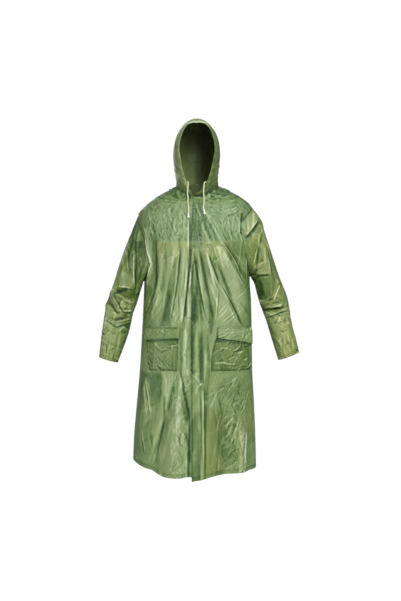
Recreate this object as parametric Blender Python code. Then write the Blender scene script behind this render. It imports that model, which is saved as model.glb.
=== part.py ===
"""A hooded raincoat of thin PVC film, hollow, in the shape it has when it is worn.

Metres, +Z up. The front faces -Y and +X is the wearer's left. The origin lies midway between the
points where the neck seam crosses the shoulders, which is where the wearer carries the coat.

The body is a stack of rings. A place on it has two numbers: turn, the angle round the body from
the centre front towards +X, and down, how far its ring lies below the origin at the sides.
Every sewn piece is a grid of such places, given a wall inwards, so pieces that share a seam share
its points and stay SEAM_GAP apart.
"""

import bpy
import numpy as np
from mathutils import Vector

WALL = 0.0018
SEAM_GAP = 0.0003
LAYER_GAP = 0.0009
HEM_DOWN = 1.15
ARC_RADIUS = 0.19

LAP_EDGE_TOP = -0.014
LAP_EDGE_LOW = -0.021
LAP_EDGE_SETTLES = 0.25
LAP_MIDDLE = 0.002
UNDERLAP_EDGE = 0.025
UNDERLAP_TURN = np.radians(26)

YOKE_TOP = -0.002
YOKE_EDGE = 0.042
YOKE_ROWS = (YOKE_TOP, 0.014, 0.028, YOKE_EDGE)
BODY_ROWS = (
    YOKE_EDGE, 0.058, 0.075, 0.092, 0.118, 0.148, 0.182, 0.218, 0.256, 0.288, 0.320, 0.349,
    0.375, 0.392, 0.422, 0.464, 0.507, 0.546, 0.584, 0.600, 0.641, 0.680, 0.720, 0.761, 0.808,
    0.856, 0.904, 0.952, 1.000, 1.048, 1.098, HEM_DOWN,
)
FLAP_TOP, BAG_TOP, FLAP_LOW, BAG_LOW = 0.584, 0.600, 0.641, 0.761

FILM = (0.20, 0.34, 0.12, 1.0)
FILM_DARK = (0.12, 0.24, 0.07, 1.0)
FILM_OLIVE = (0.20, 0.27, 0.09, 1.0)
STUD_GREEN = (0.16, 0.30, 0.11, 1.0)
CREAM = (0.72, 0.76, 0.55, 1.0)
WHITE = (0.90, 0.92, 0.86, 1.0)


def table(columns, *rows):
    """Rows of numbers as named columns."""
    return dict(zip(columns.split(), np.array(rows, float).T))


BODY = table(
    "down front_drop back_drop right left front back square",
    (-0.002, 0.052, -0.018, 0.088, 0.090, 0.088, 0.078, 0.000),
    (0.018, 0.040, -0.012, 0.125, 0.137, 0.097, 0.093, 0.000),
    (0.042, 0.026, -0.006, 0.168, 0.181, 0.106, 0.104, 0.005),
    (0.075, 0.011, -0.002, 0.211, 0.222, 0.116, 0.113, 0.010),
    (0.118, 0.004, 0.000, 0.246, 0.238, 0.125, 0.118, 0.015),
    (0.200, 0.000, 0.000, 0.238, 0.235, 0.133, 0.121, 0.022),
    (0.290, 0.000, 0.000, 0.228, 0.228, 0.137, 0.121, 0.028),
    (0.385, 0.000, 0.000, 0.221, 0.221, 0.136, 0.119, 0.028),
    (0.480, 0.000, 0.000, 0.225, 0.227, 0.135, 0.120, 0.026),
    (0.632, 0.000, 0.000, 0.232, 0.230, 0.138, 0.126, 0.024),
    (0.770, 0.000, 0.000, 0.240, 0.232, 0.143, 0.132, 0.022),
    (0.880, 0.000, 0.000, 0.250, 0.238, 0.148, 0.138, 0.020),
    (1.050, 0.000, 0.000, 0.264, 0.2455, 0.155, 0.146, 0.018),
    (HEM_DOWN, 0.000, 0.000, 0.268, 0.248, 0.159, 0.150, 0.018),
)

# How far the hem hangs below the last ring, by degrees of turn, on the wearer's left and right.
HEM_FADE_FROM = 0.93
HEM_LEFT = table(
    "turn below",
    (-8, 0.061), (6, 0.045), (18, 0.030), (38, 0.026), (90, 0.019), (135, 0.016), (180, 0.010),
)
HEM_RIGHT = table(
    "turn below",
    (-180, 0.010), (-135, -0.002), (-90, -0.013), (-44, 0.016), (-28, 0.038), (-16, 0.044),
    (-6, 0.039), (8, 0.041),
)

# Each armhole runs from the shoulder end down to the underarm. The cuts are how many degrees of
# turn it bites into the front and the back, and deepest is where, as a share of its height.
ARMHOLES = {
    "left": dict(side=1, top=0.075, bottom=0.375, front=42, front_at=0.30, back=29, back_at=0.5),
    "right": dict(side=-1, top=0.118, bottom=0.392, front=33, front_at=0.72, back=27, back_at=0.6),
}

FOLD_COLUMNS = "across0 down0 across1 down1 half_width height bow"

# Drape folds. Across is the distance in X from the centre; a negative height is a valley.
FRONT_FOLDS = table(
    FOLD_COLUMNS,
    (0.018, 0.13, 0.036, 0.62, 0.016, -0.007, 0.004),
    (0.040, 0.16, 0.068, 0.58, 0.017, 0.005, 0.000),
    (0.030, 0.14, 0.140, 0.48, 0.018, -0.007, -0.010),
    (0.085, 0.20, 0.178, 0.47, 0.020, 0.007, 0.000),
    (0.100, 0.18, 0.198, 0.40, 0.019, -0.009, 0.000),
    (0.047, 0.52, 0.036, 0.86, 0.015, 0.006, 0.000),
    (0.024, 0.55, 0.020, 0.93, 0.014, -0.007, 0.000),
    (0.018, 0.86, 0.016, 1.35, 0.013, 0.009, 0.000),
    (-0.004, 0.84, 0.000, 1.35, 0.013, -0.006, 0.000),
    (0.075, 0.86, 0.068, 1.35, 0.020, 0.007, 0.000),
    (0.110, 0.90, 0.120, 1.35, 0.022, -0.010, 0.000),
    (0.162, 0.88, 0.188, 1.35, 0.022, 0.012, 0.000),
    (0.205, 0.80, 0.222, 1.35, 0.020, -0.007, 0.000),
    (-0.200, 0.15, -0.198, 0.44, 0.014, 0.006, 0.000),
    (-0.176, 0.19, -0.182, 0.44, 0.017, -0.009, 0.000),
    (-0.146, 0.24, -0.190, 0.62, 0.020, 0.007, 0.000),
    (-0.074, 0.22, -0.102, 0.50, 0.016, -0.007, 0.000),
    (-0.096, 0.24, -0.128, 0.56, 0.017, 0.006, 0.000),
    (-0.038, 0.24, -0.054, 0.62, 0.015, -0.007, 0.000),
    (-0.058, 0.27, -0.078, 0.60, 0.015, 0.006, 0.000),
    (-0.086, 0.82, -0.200, 1.25, 0.019, -0.011, -0.012),
    (-0.060, 0.84, -0.138, 1.35, 0.019, 0.010, -0.006),
    (-0.040, 0.82, -0.044, 1.35, 0.015, -0.013, 0.000),
    (-0.205, 0.74, -0.224, 1.10, 0.019, 0.007, 0.000),
    (-0.155, 0.76, -0.176, 1.02, 0.020, -0.007, 0.000),
)

BACK_FOLDS = table(
    FOLD_COLUMNS,
    (0.020, 0.34, 0.028, 1.35, 0.024, -0.010, 0.004),
    (-0.035, 0.42, -0.045, 1.35, 0.024, 0.009, 0.000),
    (0.078, 0.36, 0.092, 1.35, 0.024, 0.009, -0.004),
    (-0.085, 0.30, -0.110, 1.35, 0.024, -0.012, 0.000),
    (0.125, 0.40, 0.160, 1.35, 0.024, -0.012, 0.000),
    (-0.130, 0.46, -0.168, 1.35, 0.024, 0.010, 0.004),
    (0.160, 0.30, 0.205, 0.90, 0.022, 0.008, 0.000),
    (-0.155, 0.26, -0.185, 0.66, 0.020, -0.009, 0.000),
    (0.060, 0.14, 0.130, 0.34, 0.020, -0.007, 0.006),
    (-0.060, 0.14, -0.140, 0.32, 0.020, -0.007, -0.006),
)

# The sleeves' two edges seen from the front: out is the edge away from the body, in the one
# facing it. Out and in are distances from the centre, deep the half depth from front to back.
SLEEVES = {
    "left": table(
        "along out_x out_down in_x in_down deep forward",
        (0.00, 0.222, 0.075, 0.221, 0.375, 0.082, 0.000),
        (0.12, 0.262, 0.130, 0.2245, 0.381, 0.080, 0.000),
        (0.30, 0.300, 0.240, 0.238, 0.402, 0.078, 0.002),
        (0.50, 0.346, 0.380, 0.252, 0.452, 0.074, 0.002),
        (0.65, 0.380, 0.470, 0.264, 0.492, 0.069, 0.006),
        (0.80, 0.396, 0.570, 0.290, 0.563, 0.063, 0.014),
        (0.90, 0.411, 0.630, 0.312, 0.638, 0.057, 0.021),
        (1.00, 0.426, 0.691, 0.3385, 0.724, 0.050, 0.028),
    ),
    "right": table(
        "along out_x out_down in_x in_down deep forward",
        (0.00, 0.246, 0.118, 0.221, 0.392, 0.080, 0.000),
        (0.12, 0.275, 0.190, 0.2245, 0.405, 0.079, 0.000),
        (0.30, 0.311, 0.281, 0.236, 0.436, 0.077, 0.002),
        (0.50, 0.349, 0.403, 0.252, 0.488, 0.073, 0.002),
        (0.65, 0.377, 0.485, 0.268, 0.532, 0.068, 0.006),
        (0.80, 0.394, 0.581, 0.282, 0.600, 0.062, 0.014),
        (0.90, 0.401, 0.645, 0.303, 0.664, 0.055, 0.021),
        (1.00, 0.408, 0.711, 0.330, 0.734, 0.047, 0.028),
    ),
}
SLEEVE_RINGS = 20
SLEEVE_RADIUS = 0.065
SLEEVE_LENGTH = 0.60
ARMHOLE_FADE = 0.38
SEAM_BEND = 0.15
UNDERARM_LEAVES = 0.10
UNDERARM_CLEAR = 0.0045

# Creases of the sleeves, at distances round the sleeve from its outer edge and along it.
SLEEVE_FOLD_COLUMNS = "round0 along0 round1 along1 half_width height bow"
SLEEVE_FOLDS = {
    "left": table(
        SLEEVE_FOLD_COLUMNS,
        (0.020, 0.04, 0.150, 0.16, 0.017, -0.009, 0.000),
        (0.030, 0.41, 0.190, 0.40, 0.015, -0.009, 0.004),
        (0.030, 0.45, 0.190, 0.36, 0.016, 0.007, 0.000),
        (0.060, 0.10, 0.090, 0.34, 0.018, 0.006, 0.000),
        (-0.020, 0.36, -0.180, 0.40, 0.018, -0.008, 0.000),
    ),
    "right": table(
        SLEEVE_FOLD_COLUMNS,
        (0.130, 0.08, 0.120, 0.36, 0.014, 0.008, 0.000),
        (0.030, 0.30, 0.180, 0.34, 0.015, -0.009, -0.006),
        (0.000, 0.36, 0.120, 0.43, 0.015, -0.008, 0.000),
        (0.060, 0.42, 0.190, 0.37, 0.016, 0.008, 0.000),
        (-0.020, 0.34, -0.180, 0.38, 0.018, -0.008, 0.000),
    ),
}

# The hood, from the neck seam (rise 0) past its widest ring to the crown (rise 1).
HOOD = table(
    "rise height front_drop back_drop right left front back rim_right rim_left",
    (0.00, 0.002, 0.052, -0.018, 0.088, 0.090, 0.088, 0.078, 9.0, -9.0),
    (0.14, 0.030, 0.038, -0.012, 0.087, 0.0885, 0.100, 0.090, 27.0, 24.0),
    (0.28, 0.072, 0.018, -0.005, 0.094, 0.0920, 0.118, 0.108, 39.0, 39.0),
    (0.45, 0.130, 0.000, 0.000, 0.101, 0.0975, 0.132, 0.128, 45.5, 48.0),
    (0.72, 0.130, 0.000, 0.000, 0.101, 0.0975, 0.132, 0.128, 51.0, 53.0),
    (0.82, 0.130, 0.000, 0.000, 0.101, 0.0975, 0.132, 0.128, 55.0, 56.0),
    (0.91, 0.130, 0.000, 0.000, 0.101, 0.0975, 0.132, 0.128, 50.5, 51.0),
    (1.00, 0.130, 0.000, 0.000, 0.101, 0.0975, 0.132, 0.128, 46.5, 46.5),
)
HOOD_WIDEST = 0.45
HOOD_CROWN = 0.155
HOOD_FRONT_SLOPE = 0.825
HOOD_ROWS = (0.0, 0.07, 0.14, 0.21, 0.28, 0.36, 0.45, 0.56, 0.67, 0.78, 0.88, 0.95, 1.0)
CASING_COLUMNS = 2
CASING_WALL = 0.0042

# Columns of the fronts outside the lap, as shares of the way to the side edge, and the columns
# at which each pocket starts and ends.
FRONT_SHARES = {
    "left": (
        0.055, 0.11, 0.165, 0.225, 0.285, 0.345, 0.405, 0.465, 0.525, 0.585, 0.645, 0.705, 0.765,
        0.825, 0.88, 0.94, 1.0,
    ),
    "right": (
        0.065, 0.133, 0.19, 0.245, 0.30, 0.355, 0.41, 0.465, 0.52, 0.572, 0.624, 0.675, 0.74,
        0.805, 0.87, 0.935, 1.0,
    ),
}
POCKET_COLUMNS = {"left": (5, 17), "right": (4, 14)}

# How the two sides of each pocket bag run, by shares of its height: moves in columns, where
# positive is away from the centre front.
POCKET_SIDES = {
    "left": table("share near far", (0.0, 0.1, -0.5), (0.75, -1.4, -1.2), (1.0, -1.4, -2.4)),
    "right": table("share near far", (0.0, 0.2, -0.2), (0.8, 0.4, -1.7), (1.0, 0.5, -2.6)),
}
FLAP_SIDES = {
    "left": table("share near far", (0.0, 0.0, -0.4), (1.0, 0.0, -0.4)),
    "right": table("share near far", (0.0, 0.0, 0.0), (1.0, 0.0, 0.0)),
}
# How far below its usual height each flap's low edge hangs, at the end by the lap and at the other.
FLAP_SLANT = {"left": (-0.011, 0.017), "right": (-0.011, -0.001)}
POCKET_CLEAR = 0.0008
POCKET_BULGE = 0.004
FLAP_LIFT = 0.0022

STUD_DOWNS = (0.092, 0.256, 0.422, 0.5886, 0.761)
STUD_ACROSS = -0.0108
STUD_RADIUS = 0.006
STUD_HEIGHT = 0.0024
STUD_STEPS = 14

CORD_DIAMETER = 0.0055
CORD_POINTS = 15
CORD_CROWDING = 1.4
CORD_ROUTES = {
    "left": (
        (0.0377, -0.0903, 0.0087), (0.0344, -0.0920, 0.0083), (0.0312, -0.0945, 0.0050),
        (0.0291, -0.0962, -0.0030), (0.0283, -0.0962, -0.0130), (0.0275, -0.0958, -0.0240),
        (0.0272, -0.0956, -0.0360), (0.0291, -0.0990, -0.0545), (0.0289, -0.1150, -0.0750),
        (0.0271, -0.1238, -0.0985), (0.0290, -0.1284, -0.1105),
    ),
    "right": (
        (-0.0403, -0.0882, 0.0084), (-0.0374, -0.0899, 0.0082), (-0.0360, -0.0925, 0.0040),
        (-0.0359, -0.0942, -0.0050), (-0.0367, -0.0942, -0.0140), (-0.0378, -0.0942, -0.0240),
        (-0.0384, -0.0945, -0.0372), (-0.0358, -0.1000, -0.0590), (-0.0362, -0.1145, -0.0795),
        (-0.0340, -0.1208, -0.0978), (-0.0340, -0.1280, -0.1240),
    ),
}
TIP_LENGTH = 0.018
TIP_PROFILE = table("along radius", (0.0, 0.0036), (0.3, 0.0034), (0.7, 0.0044), (1.0, 0.0050))
TIP_STEPS = 14


def smooth(x, places, values):
    """Cubic curve through the values that never overshoots between two of them."""
    step = np.diff(places)
    slope = np.diff(values) / step
    before, after = slope[:-1], slope[1:]
    weights = step[:-1] + step[1:]
    same_way = before * after > 0
    divisor = np.where(same_way, before * (2 * step[:-1] + step[1:]) + after * (step[:-1] + 2 * step[1:]), 1)
    inner = np.where(same_way, 3 * weights * before * after / divisor, 0)
    tangent = np.concatenate([slope[:1], inner, slope[-1:]])
    x = np.clip(x, places[0], places[-1])
    i = np.clip(np.searchsorted(places, x, side="right") - 1, 0, len(step) - 1)
    t = (x - places[i]) / step[i]
    rise = values[i + 1] - values[i]
    a, b = tangent[i] * step[i], tangent[i + 1] * step[i]
    return values[i] + t * (a + t * (3 * rise - 2 * a - b + t * (a + b - 2 * rise)))


def read(columns, name, x, key):
    return smooth(x, columns[key], columns[name])


def ease(x):
    """0 below 0, 1 above 1, with a soft step between."""
    x = np.clip(x, 0, 1)
    return x * x * (3 - 2 * x)


def wrapped(turn):
    return (turn + np.pi) % (2 * np.pi) - np.pi


def unit(vectors):
    return vectors / np.maximum(np.linalg.norm(vectors, axis=-1, keepdims=True), 1e-12)


def normals_of(surface, first, second, nudge_first, nudge_second):
    """Outward normals of surface(first, second), from points a little to each side."""
    one = surface(first + nudge_first, second) - surface(first - nudge_first, second)
    two = surface(first, second + nudge_second) - surface(first, second - nudge_second)
    return unit(np.cross(two, one))


def relief(folds, across, down):
    """Sum of soft ridges and valleys: each has a bell-shaped section and fades at both ends."""
    names = tuple(folds)
    total = 0.0
    for row in zip(*(folds[name] for name in names)):
        across0, down0, across1, down1, half_width, height, bow = row
        run, fall = across1 - across0, down1 - down0
        length = np.hypot(run, fall)
        t = ((across - across0) * run + (down - down0) * fall) / length**2
        off = ((across - across0) * fall - (down - down0) * run) / length
        off = off - bow * 4 * t * (1 - t)
        fade = ease(t / 0.22) * ease((1 - t) / 0.22)
        total = total + height * fade * np.exp(-((off / half_width) ** 2))
    return total


def ring_across(turn, down):
    """X of the body's ring before any fold."""
    right, left = read(BODY, "right", down, "down"), read(BODY, "left", down, "down")
    square = read(BODY, "square", down, "down")
    wide = (left + right) / 2 + (left - right) / 2 * np.sin(turn)
    return wide * (np.sin(turn) + square * np.sin(3 * turn)) / (1 - square)


def ring(turn, down, side):
    """The body without folds: rings that are wider than deep and a little squared."""
    cos = np.cos(turn)
    square = read(BODY, "square", down, "down")
    deep = np.where(cos > 0, read(BODY, "front", down, "down"), read(BODY, "back", down, "down"))
    y = -deep * (cos - square * np.cos(3 * turn)) / (1 - square)
    drop = np.where(
        cos > 0, read(BODY, "front_drop", down, "down"), read(BODY, "back_drop", down, "down")
    )
    degrees = np.degrees(turn)
    below = np.where(
        side > 0,
        smooth(degrees, HEM_LEFT["turn"], HEM_LEFT["below"]),
        smooth(degrees, HEM_RIGHT["turn"], HEM_RIGHT["below"]),
    )
    hem = below * ease((down - HEM_FADE_FROM) / (HEM_DOWN - HEM_FADE_FROM))
    flat = ease((down - YOKE_TOP) / (YOKE_EDGE - YOKE_TOP))
    z = -down - drop * cos * cos * (1 + flat * np.sin(turn) ** 2) - hem
    return np.stack(np.broadcast_arrays(ring_across(turn, down), y, z), axis=-1)


def arcs_of(folds):
    """Fold tables give X; this turns it into a distance round the ring, as folds are laid out."""
    turns = np.radians(np.linspace(-90, 90, 181))
    out = dict(folds)
    for end in "01":
        arcs = [
            ARC_RADIUS * np.interp(x, ring_across(turns, down), turns)
            for x, down in zip(folds["across" + end], folds["down" + end])
        ]
        out["across" + end] = np.array(arcs)
    return out


def body(turn, down, side):
    """A point of the body's outer face, with its drape folds and the underlap pressed in."""
    turn, down, side = np.broadcast_arrays(turn, down, side)
    turn = wrapped(turn)
    nudge = np.radians(0.5)
    base = ring(turn, down, side)
    out = normals_of(lambda a, b: ring(a, b, side), turn, down, nudge, 0.002)
    height = relief(FRONT_ARCS, ARC_RADIUS * turn, down)
    height = height + relief(BACK_ARCS, -ARC_RADIUS * wrapped(turn - np.pi), down)
    tucked = np.where(side < 0, ease((turn + UNDERLAP_TURN) / (UNDERLAP_TURN * 0.6)), 0)
    return base + out * (height - tucked * (WALL + LAYER_GAP))[..., None]


def body_normals(turn, down, side):
    return normals_of(lambda a, b: body(a, b, side), turn, down, np.radians(0.5), 0.002)


def turn_at(x, down):
    """The turn at which the front of a ring reaches x."""
    turns = np.radians(np.linspace(-40, 40, 161))
    return np.array([np.interp(x_at, ring_across(turns, d), turns) for x_at, d in zip(x, down)])


def lap_edge(down):
    settle = ease((down - YOKE_TOP) / (LAP_EDGE_SETTLES - YOKE_TOP))
    return LAP_EDGE_TOP + (LAP_EDGE_LOW - LAP_EDGE_TOP) * settle


def armhole_turn(down, hole, face):
    """Turn of the armhole's edge: 90 degrees at both its ends, less in front, more behind."""
    t = np.clip((down - hole["top"]) / (hole["bottom"] - hole["top"]), 0, 1)
    deepest, cut = hole[face + "_at"], np.radians(hole[face])
    upper = np.sin(np.pi / 2 * np.clip(t / deepest, 0, 1))
    lower = np.cos(np.pi / 2 * np.clip((t - deepest) / (1 - deepest), 0, 1)) ** 0.6
    bite = cut * np.where(t < deepest, upper, lower)
    return hole["side"] * (np.pi / 2 - bite if face == "front" else np.pi / 2 + bite)


def front_columns(down, name):
    """Turns of a front's columns: three across the lap, then spread out to its side edge."""
    hole, spread = ARMHOLES[name], FRONT_SHARES[name]
    lap = [lap_edge(down), np.full_like(down, LAP_MIDDLE), np.full_like(down, UNDERLAP_EDGE)]
    lap = [turn_at(x, down) for x in (lap if name == "left" else lap[::-1])]
    side = armhole_turn(down, hole, "front")
    return np.stack(lap + [lap[-1] + (side - lap[-1]) * share for share in spread], axis=-1)


def back_columns(down):
    """Turns of the back's columns, from the wearer's left side round to the right side."""
    left = armhole_turn(down, ARMHOLES["left"], "back")[:, None]
    right = 2 * np.pi + armhole_turn(down, ARMHOLES["right"], "back")[:, None]
    return left + (right - left) * np.linspace(0, 1, 23)


def side_of(turn):
    return np.where(wrapped(turn) < 0, -1, 1)


def hood(rise, turn, side):
    """A point of the hood: rings up to its widest, then a round crown, both cut off at the rim."""
    rise, turn = np.broadcast_arrays(rise, turn)
    cos, sin = np.cos(turn), np.sin(turn)
    at = {name: read(HOOD, name, rise, "rise") for name in ("right", "left", "front", "back")}
    lift = np.radians(90) * np.clip((rise - HOOD_WIDEST) / (1 - HOOD_WIDEST), 0, None)
    wide = (at["left"] + at["right"]) / 2 + (at["left"] - at["right"]) / 2 * side * sin
    x = side * wide * sin * np.cos(lift)
    up = np.sin(lift)
    y = -np.where(cos > 0, at["front"] * cos, at["back"] * cos * np.sqrt(1 - up * up / 2))
    slope = np.where(cos > 0, HOOD_FRONT_SLOPE, 0.5)
    drop = np.where(
        cos > 0,
        read(HOOD, "front_drop", rise, "rise"),
        read(HOOD, "back_drop", rise, "rise"),
    )
    z = read(HOOD, "height", rise, "rise") - drop * cos * cos
    z = z + HOOD_CROWN * up * np.sqrt(1 - slope * cos * cos)
    return np.stack([x, y, z], axis=-1)


def turn_of(y, down):
    """The turn at which the body's bare ring has this Y, from 0 in front to 180 degrees behind."""
    square = read(BODY, "square", down, "down")
    deep = np.where(y < 0, read(BODY, "front", down, "down"), read(BODY, "back", down, "down"))
    target = -y / deep * (1 - square)
    cos = target
    for _ in range(5):
        cos = np.clip(target + square * (4 * cos**3 - 3 * cos), -1, 1)
    return np.arccos(cos)


def outside_body(points, along, hole):
    """Moves a sleeve's points out till they clear the body's side, by more away from the seam."""
    side, down = hole["side"], -points[..., 2]
    share = ease(along / UNDERARM_LEAVES)
    limit = side * body(side * turn_of(points[..., 1], down), down, side)[..., 0]
    limit = limit + UNDERARM_CLEAR * share
    x = side * points[..., 0]
    x = (x + limit + np.sqrt((x - limit) ** 2 + (UNDERARM_CLEAR * share) ** 2)) / 2
    return np.stack([side * x, points[..., 1], points[..., 2]], axis=-1)


def sleeve_bare(along, round_, name):
    """A sleeve without creases: ovals between its two edges, eased out of the armhole's curve."""
    hole, rows = ARMHOLES[name], SLEEVES[name]
    cos, sin = np.cos(round_), np.sin(round_)

    def oval(s):
        at = {key: read(rows, key, s, "along") for key in rows if key != "along"}
        x = (at["out_x"] + at["in_x"]) / 2 + (at["out_x"] - at["in_x"]) / 2 * cos
        z = (at["out_down"] + at["in_down"]) / 2 + (at["out_down"] - at["in_down"]) / 2 * cos
        return np.stack([hole["side"] * x, -at["forward"] - at["deep"] * sin, -z], axis=-1)

    down = hole["top"] + (1 - cos) / 2 * (hole["bottom"] - hole["top"])
    turn = np.where(
        sin > 0, armhole_turn(down, hole, "front"), armhole_turn(down, hole, "back")
    )
    edge = body(turn, down, hole["side"])
    fade = 1 - ease(along / ARMHOLE_FADE)
    points = oval(along) + (edge - oval(np.zeros_like(along))) * fade[..., None]
    return outside_body(points, along, hole)


def sleeve(along, round_, name):
    """A point of a sleeve: round_ is 0 at its outer edge, 90 degrees in front, 180 at the inner."""
    along, round_ = np.broadcast_arrays(along, round_)
    out = normals_of(lambda a, b: sleeve_bare(a, b, name), along, round_, 0.01, np.radians(2))
    out = out * ARMHOLES[name]["side"]
    swell = relief(SLEEVE_FOLDS[name], SLEEVE_RADIUS * wrapped(round_), SLEEVE_LENGTH * along)
    swell = swell * ease((along - 0.02) / 0.15)
    return sleeve_bare(along, round_, name) + out * swell[..., None]


def sleeve_normals(along, round_, name):
    out = normals_of(lambda a, b: sleeve(a, b, name), along, round_, 0.01, np.radians(2))
    return out * ARMHOLES[name]["side"]


FRONT_ARCS = arcs_of(FRONT_FOLDS)
BACK_ARCS = arcs_of(BACK_FOLDS)


def clear_scene():
    for item in list(bpy.data.objects):
        bpy.data.objects.remove(item, do_unlink=True)


def film(name, colour, roughness=0.35):
    material = bpy.data.materials.new(name)
    material.use_nodes = True
    shader = material.node_tree.nodes["Principled BSDF"]
    shader.inputs["Base Color"].default_value = colour
    shader.inputs["Roughness"].default_value = roughness
    shader.inputs["Metallic"].default_value = 0.0
    return material


def make_object(name, points, faces, material):
    mesh = bpy.data.meshes.new(name)
    mesh.from_pydata([tuple(p) for p in points], [], [tuple(f) for f in faces])
    mesh.materials.append(material)
    mesh.shade_smooth()
    mesh.set_sharp_from_angle(angle=np.radians(40))
    item = bpy.data.objects.new(name, mesh)
    bpy.context.scene.collection.objects.link(item)
    return item


def shrink_edges(points, gap, around):
    """Pulls each open edge of a grid back into the grid by gap."""
    points = points.copy()
    edges = [(0, 1), (-1, -2)]
    for edge, inner in edges:
        points[edge] += unit(points[inner] - points[edge]) * gap
    if not around:
        for edge, inner in edges:
            points[:, edge] += unit(points[:, inner] - points[:, edge]) * gap
    return points


def wall(name, outer, normals, thickness, material, around=False):
    """A closed solid from a grid of outer points: the same grid moved in, and a rim between them.

    Both faces split each cell along its shorter outer diagonal, so the wall never crosses itself.
    """
    rows, columns = outer.shape[:2]
    outer = shrink_edges(outer, SEAM_GAP / 2, around)
    inner = outer - normals * np.broadcast_to(thickness, (rows, columns))[..., None]
    index = np.arange(rows * columns).reshape(rows, columns)
    if around:
        index = np.concatenate([index, index[:, :1]], axis=1)
    flat = outer.reshape(-1, 3)
    triangles = []
    for r in range(rows - 1):
        for c in range(index.shape[1] - 1):
            a, b, d, e = index[r, c], index[r, c + 1], index[r + 1, c + 1], index[r + 1, c]
            if np.linalg.norm(flat[a] - flat[d]) < np.linalg.norm(flat[b] - flat[e]):
                triangles += [(a, b, d), (a, d, e)]
            else:
                triangles += [(a, b, e), (b, d, e)]
    triangles = np.array(triangles)
    corners = flat[triangles]
    facing = np.cross(corners[:, 1] - corners[:, 0], corners[:, 2] - corners[:, 0])
    if (facing * normals.reshape(-1, 3)[triangles[:, 0]]).sum() < 0:
        triangles = triangles[:, ::-1]
    directed = {
        (t[i], t[(i + 1) % 3]) for t in triangles.tolist() for i in range(3)
    }
    open_edges = sorted(edge for edge in directed if edge[::-1] not in directed)
    size = rows * columns
    faces = triangles.tolist() + (triangles[:, ::-1] + size).tolist()
    for a, b in open_edges:
        faces += [(b, a, a + size), (b, a + size, b + size)]
    return make_object(name, np.concatenate([flat, inner.reshape(-1, 3)]), faces, material)


def front_grid(name):
    down = np.array(BODY_ROWS)
    turn = front_columns(down, name)
    side = ARMHOLES[name]["side"]
    down = np.broadcast_to(down[:, None], turn.shape)
    return body(turn, down, side), body_normals(turn, down, side)


def build_front(name):
    points, normals = front_grid(name)
    wall("front_" + name, points, normals, WALL, film("film_front_" + name, FILM))


def build_back():
    down = np.array(BODY_ROWS)
    turn = back_columns(down)
    down = np.broadcast_to(down[:, None], turn.shape)
    side = side_of(turn)
    points, normals = body(turn, down, side), body_normals(turn, down, side)
    wall("back", points, normals, WALL, film("film_back", FILM))


def build_yoke():
    """The piece round the neck, from the underlap round the back to the lap's edge."""
    down = np.array(YOKE_ROWS)
    right, left, back = front_columns(down, "right"), front_columns(down, "left"), back_columns(down)
    turn = np.concatenate([right, back[:, ::-1][:, 1:-1] - 2 * np.pi, left[:, ::-1] - 2 * np.pi], axis=1)
    side = np.concatenate(
        [np.full(right.shape, -1), side_of(back[:, ::-1][:, 1:-1]), np.full(left.shape, 1)], axis=1
    )
    down = np.broadcast_to(down[:, None], turn.shape)
    points, normals = body(turn, down, side), body_normals(turn, down, side)
    wall("neck_yoke", points, normals, WALL, film("film_yoke", FILM_DARK))


def build_sleeve(name):
    hole = ARMHOLES[name]
    downs = np.array([d for d in BODY_ROWS if hole["top"] <= d <= hole["bottom"]])
    shares = (downs - hole["top"]) / (hole["bottom"] - hole["top"])
    half = np.arccos(1 - 2 * shares)
    round_ = np.concatenate([half, 2 * np.pi - half[-2:0:-1]])
    along = np.linspace(0, 1, SLEEVE_RINGS)[:, None]
    points = sleeve(along, round_[None], name)
    normals = sleeve_normals(*np.broadcast_arrays(along, round_[None]), name)
    front = body_normals(armhole_turn(downs, hole, "front"), downs, hole["side"])
    behind = body_normals(armhole_turn(downs, hole, "back"), downs, hole["side"])
    panels = np.concatenate([front, behind[-2:0:-1]])
    leaves_outward = ((points[1] - points[0]) * panels).sum(axis=-1) > 0
    bend = 1 - (panels * normals[0]).sum(axis=-1)
    own = np.where(leaves_outward, ease(bend / SEAM_BEND), 0)[:, None]
    normals[0] = unit(panels * (1 - own) + normals[0] * own)
    wall("sleeve_" + name, points, normals, WALL, film("film_sleeve_" + name, FILM_OLIVE), around=True)


def neck_turns(name):
    """Turns of the yoke's top points on one side, from the lap's edge round to the centre back."""
    side = ARMHOLES[name]["side"]
    top = np.array([YOKE_TOP])
    front = front_columns(top, name)[0] * side
    back = back_columns(top)[0] if side > 0 else 2 * np.pi - back_columns(top)[0][::-1]
    centre = len(back) // 2
    return np.concatenate([front[0 if side > 0 else 2:], back[1 : centre + 1]])


def hood_grid(name):
    side = ARMHOLES[name]["side"]
    rise = np.array(HOOD_ROWS)[:, None]
    neck = neck_turns(name)
    rim = np.radians(read(HOOD, "rim_" + name, rise, "rise"))
    turn = rim + (np.pi - rim) * (neck - neck[0]) / (np.pi - neck[0])
    turn[0] = neck
    points = hood(rise, turn, side)
    inside_rise = np.clip(rise, None, 0.98)
    inside_turn = np.clip(turn, None, np.radians(178))
    rise_, turn_ = np.broadcast_arrays(inside_rise, inside_turn)
    normals = normals_of(lambda a, b: hood(a, b, side), rise_, turn_, 0.005, np.radians(1))
    normals = normals * np.sign((normals * (points - (0, 0, 0.1))).sum(axis=-1, keepdims=True))
    seam = (rise >= 1) | (turn >= np.pi - 1e-6)
    normals[..., 0] = np.where(seam, 0, normals[..., 0])
    normals = unit(normals)
    neck_turn = side * turn[0]
    normals[0] = body_normals(neck_turn, np.full_like(neck_turn, YOKE_TOP), side)
    return points, normals


def build_hood(name):
    points, normals = hood_grid(name)
    thickness = np.full(points.shape[:2], WALL)
    thickness[1:, :CASING_COLUMNS] = CASING_WALL
    thickness[1:, 1] = (CASING_WALL + WALL) / 2
    wall("hood_" + name, points, normals, thickness, film("film_hood_" + name, FILM_OLIVE))


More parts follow.
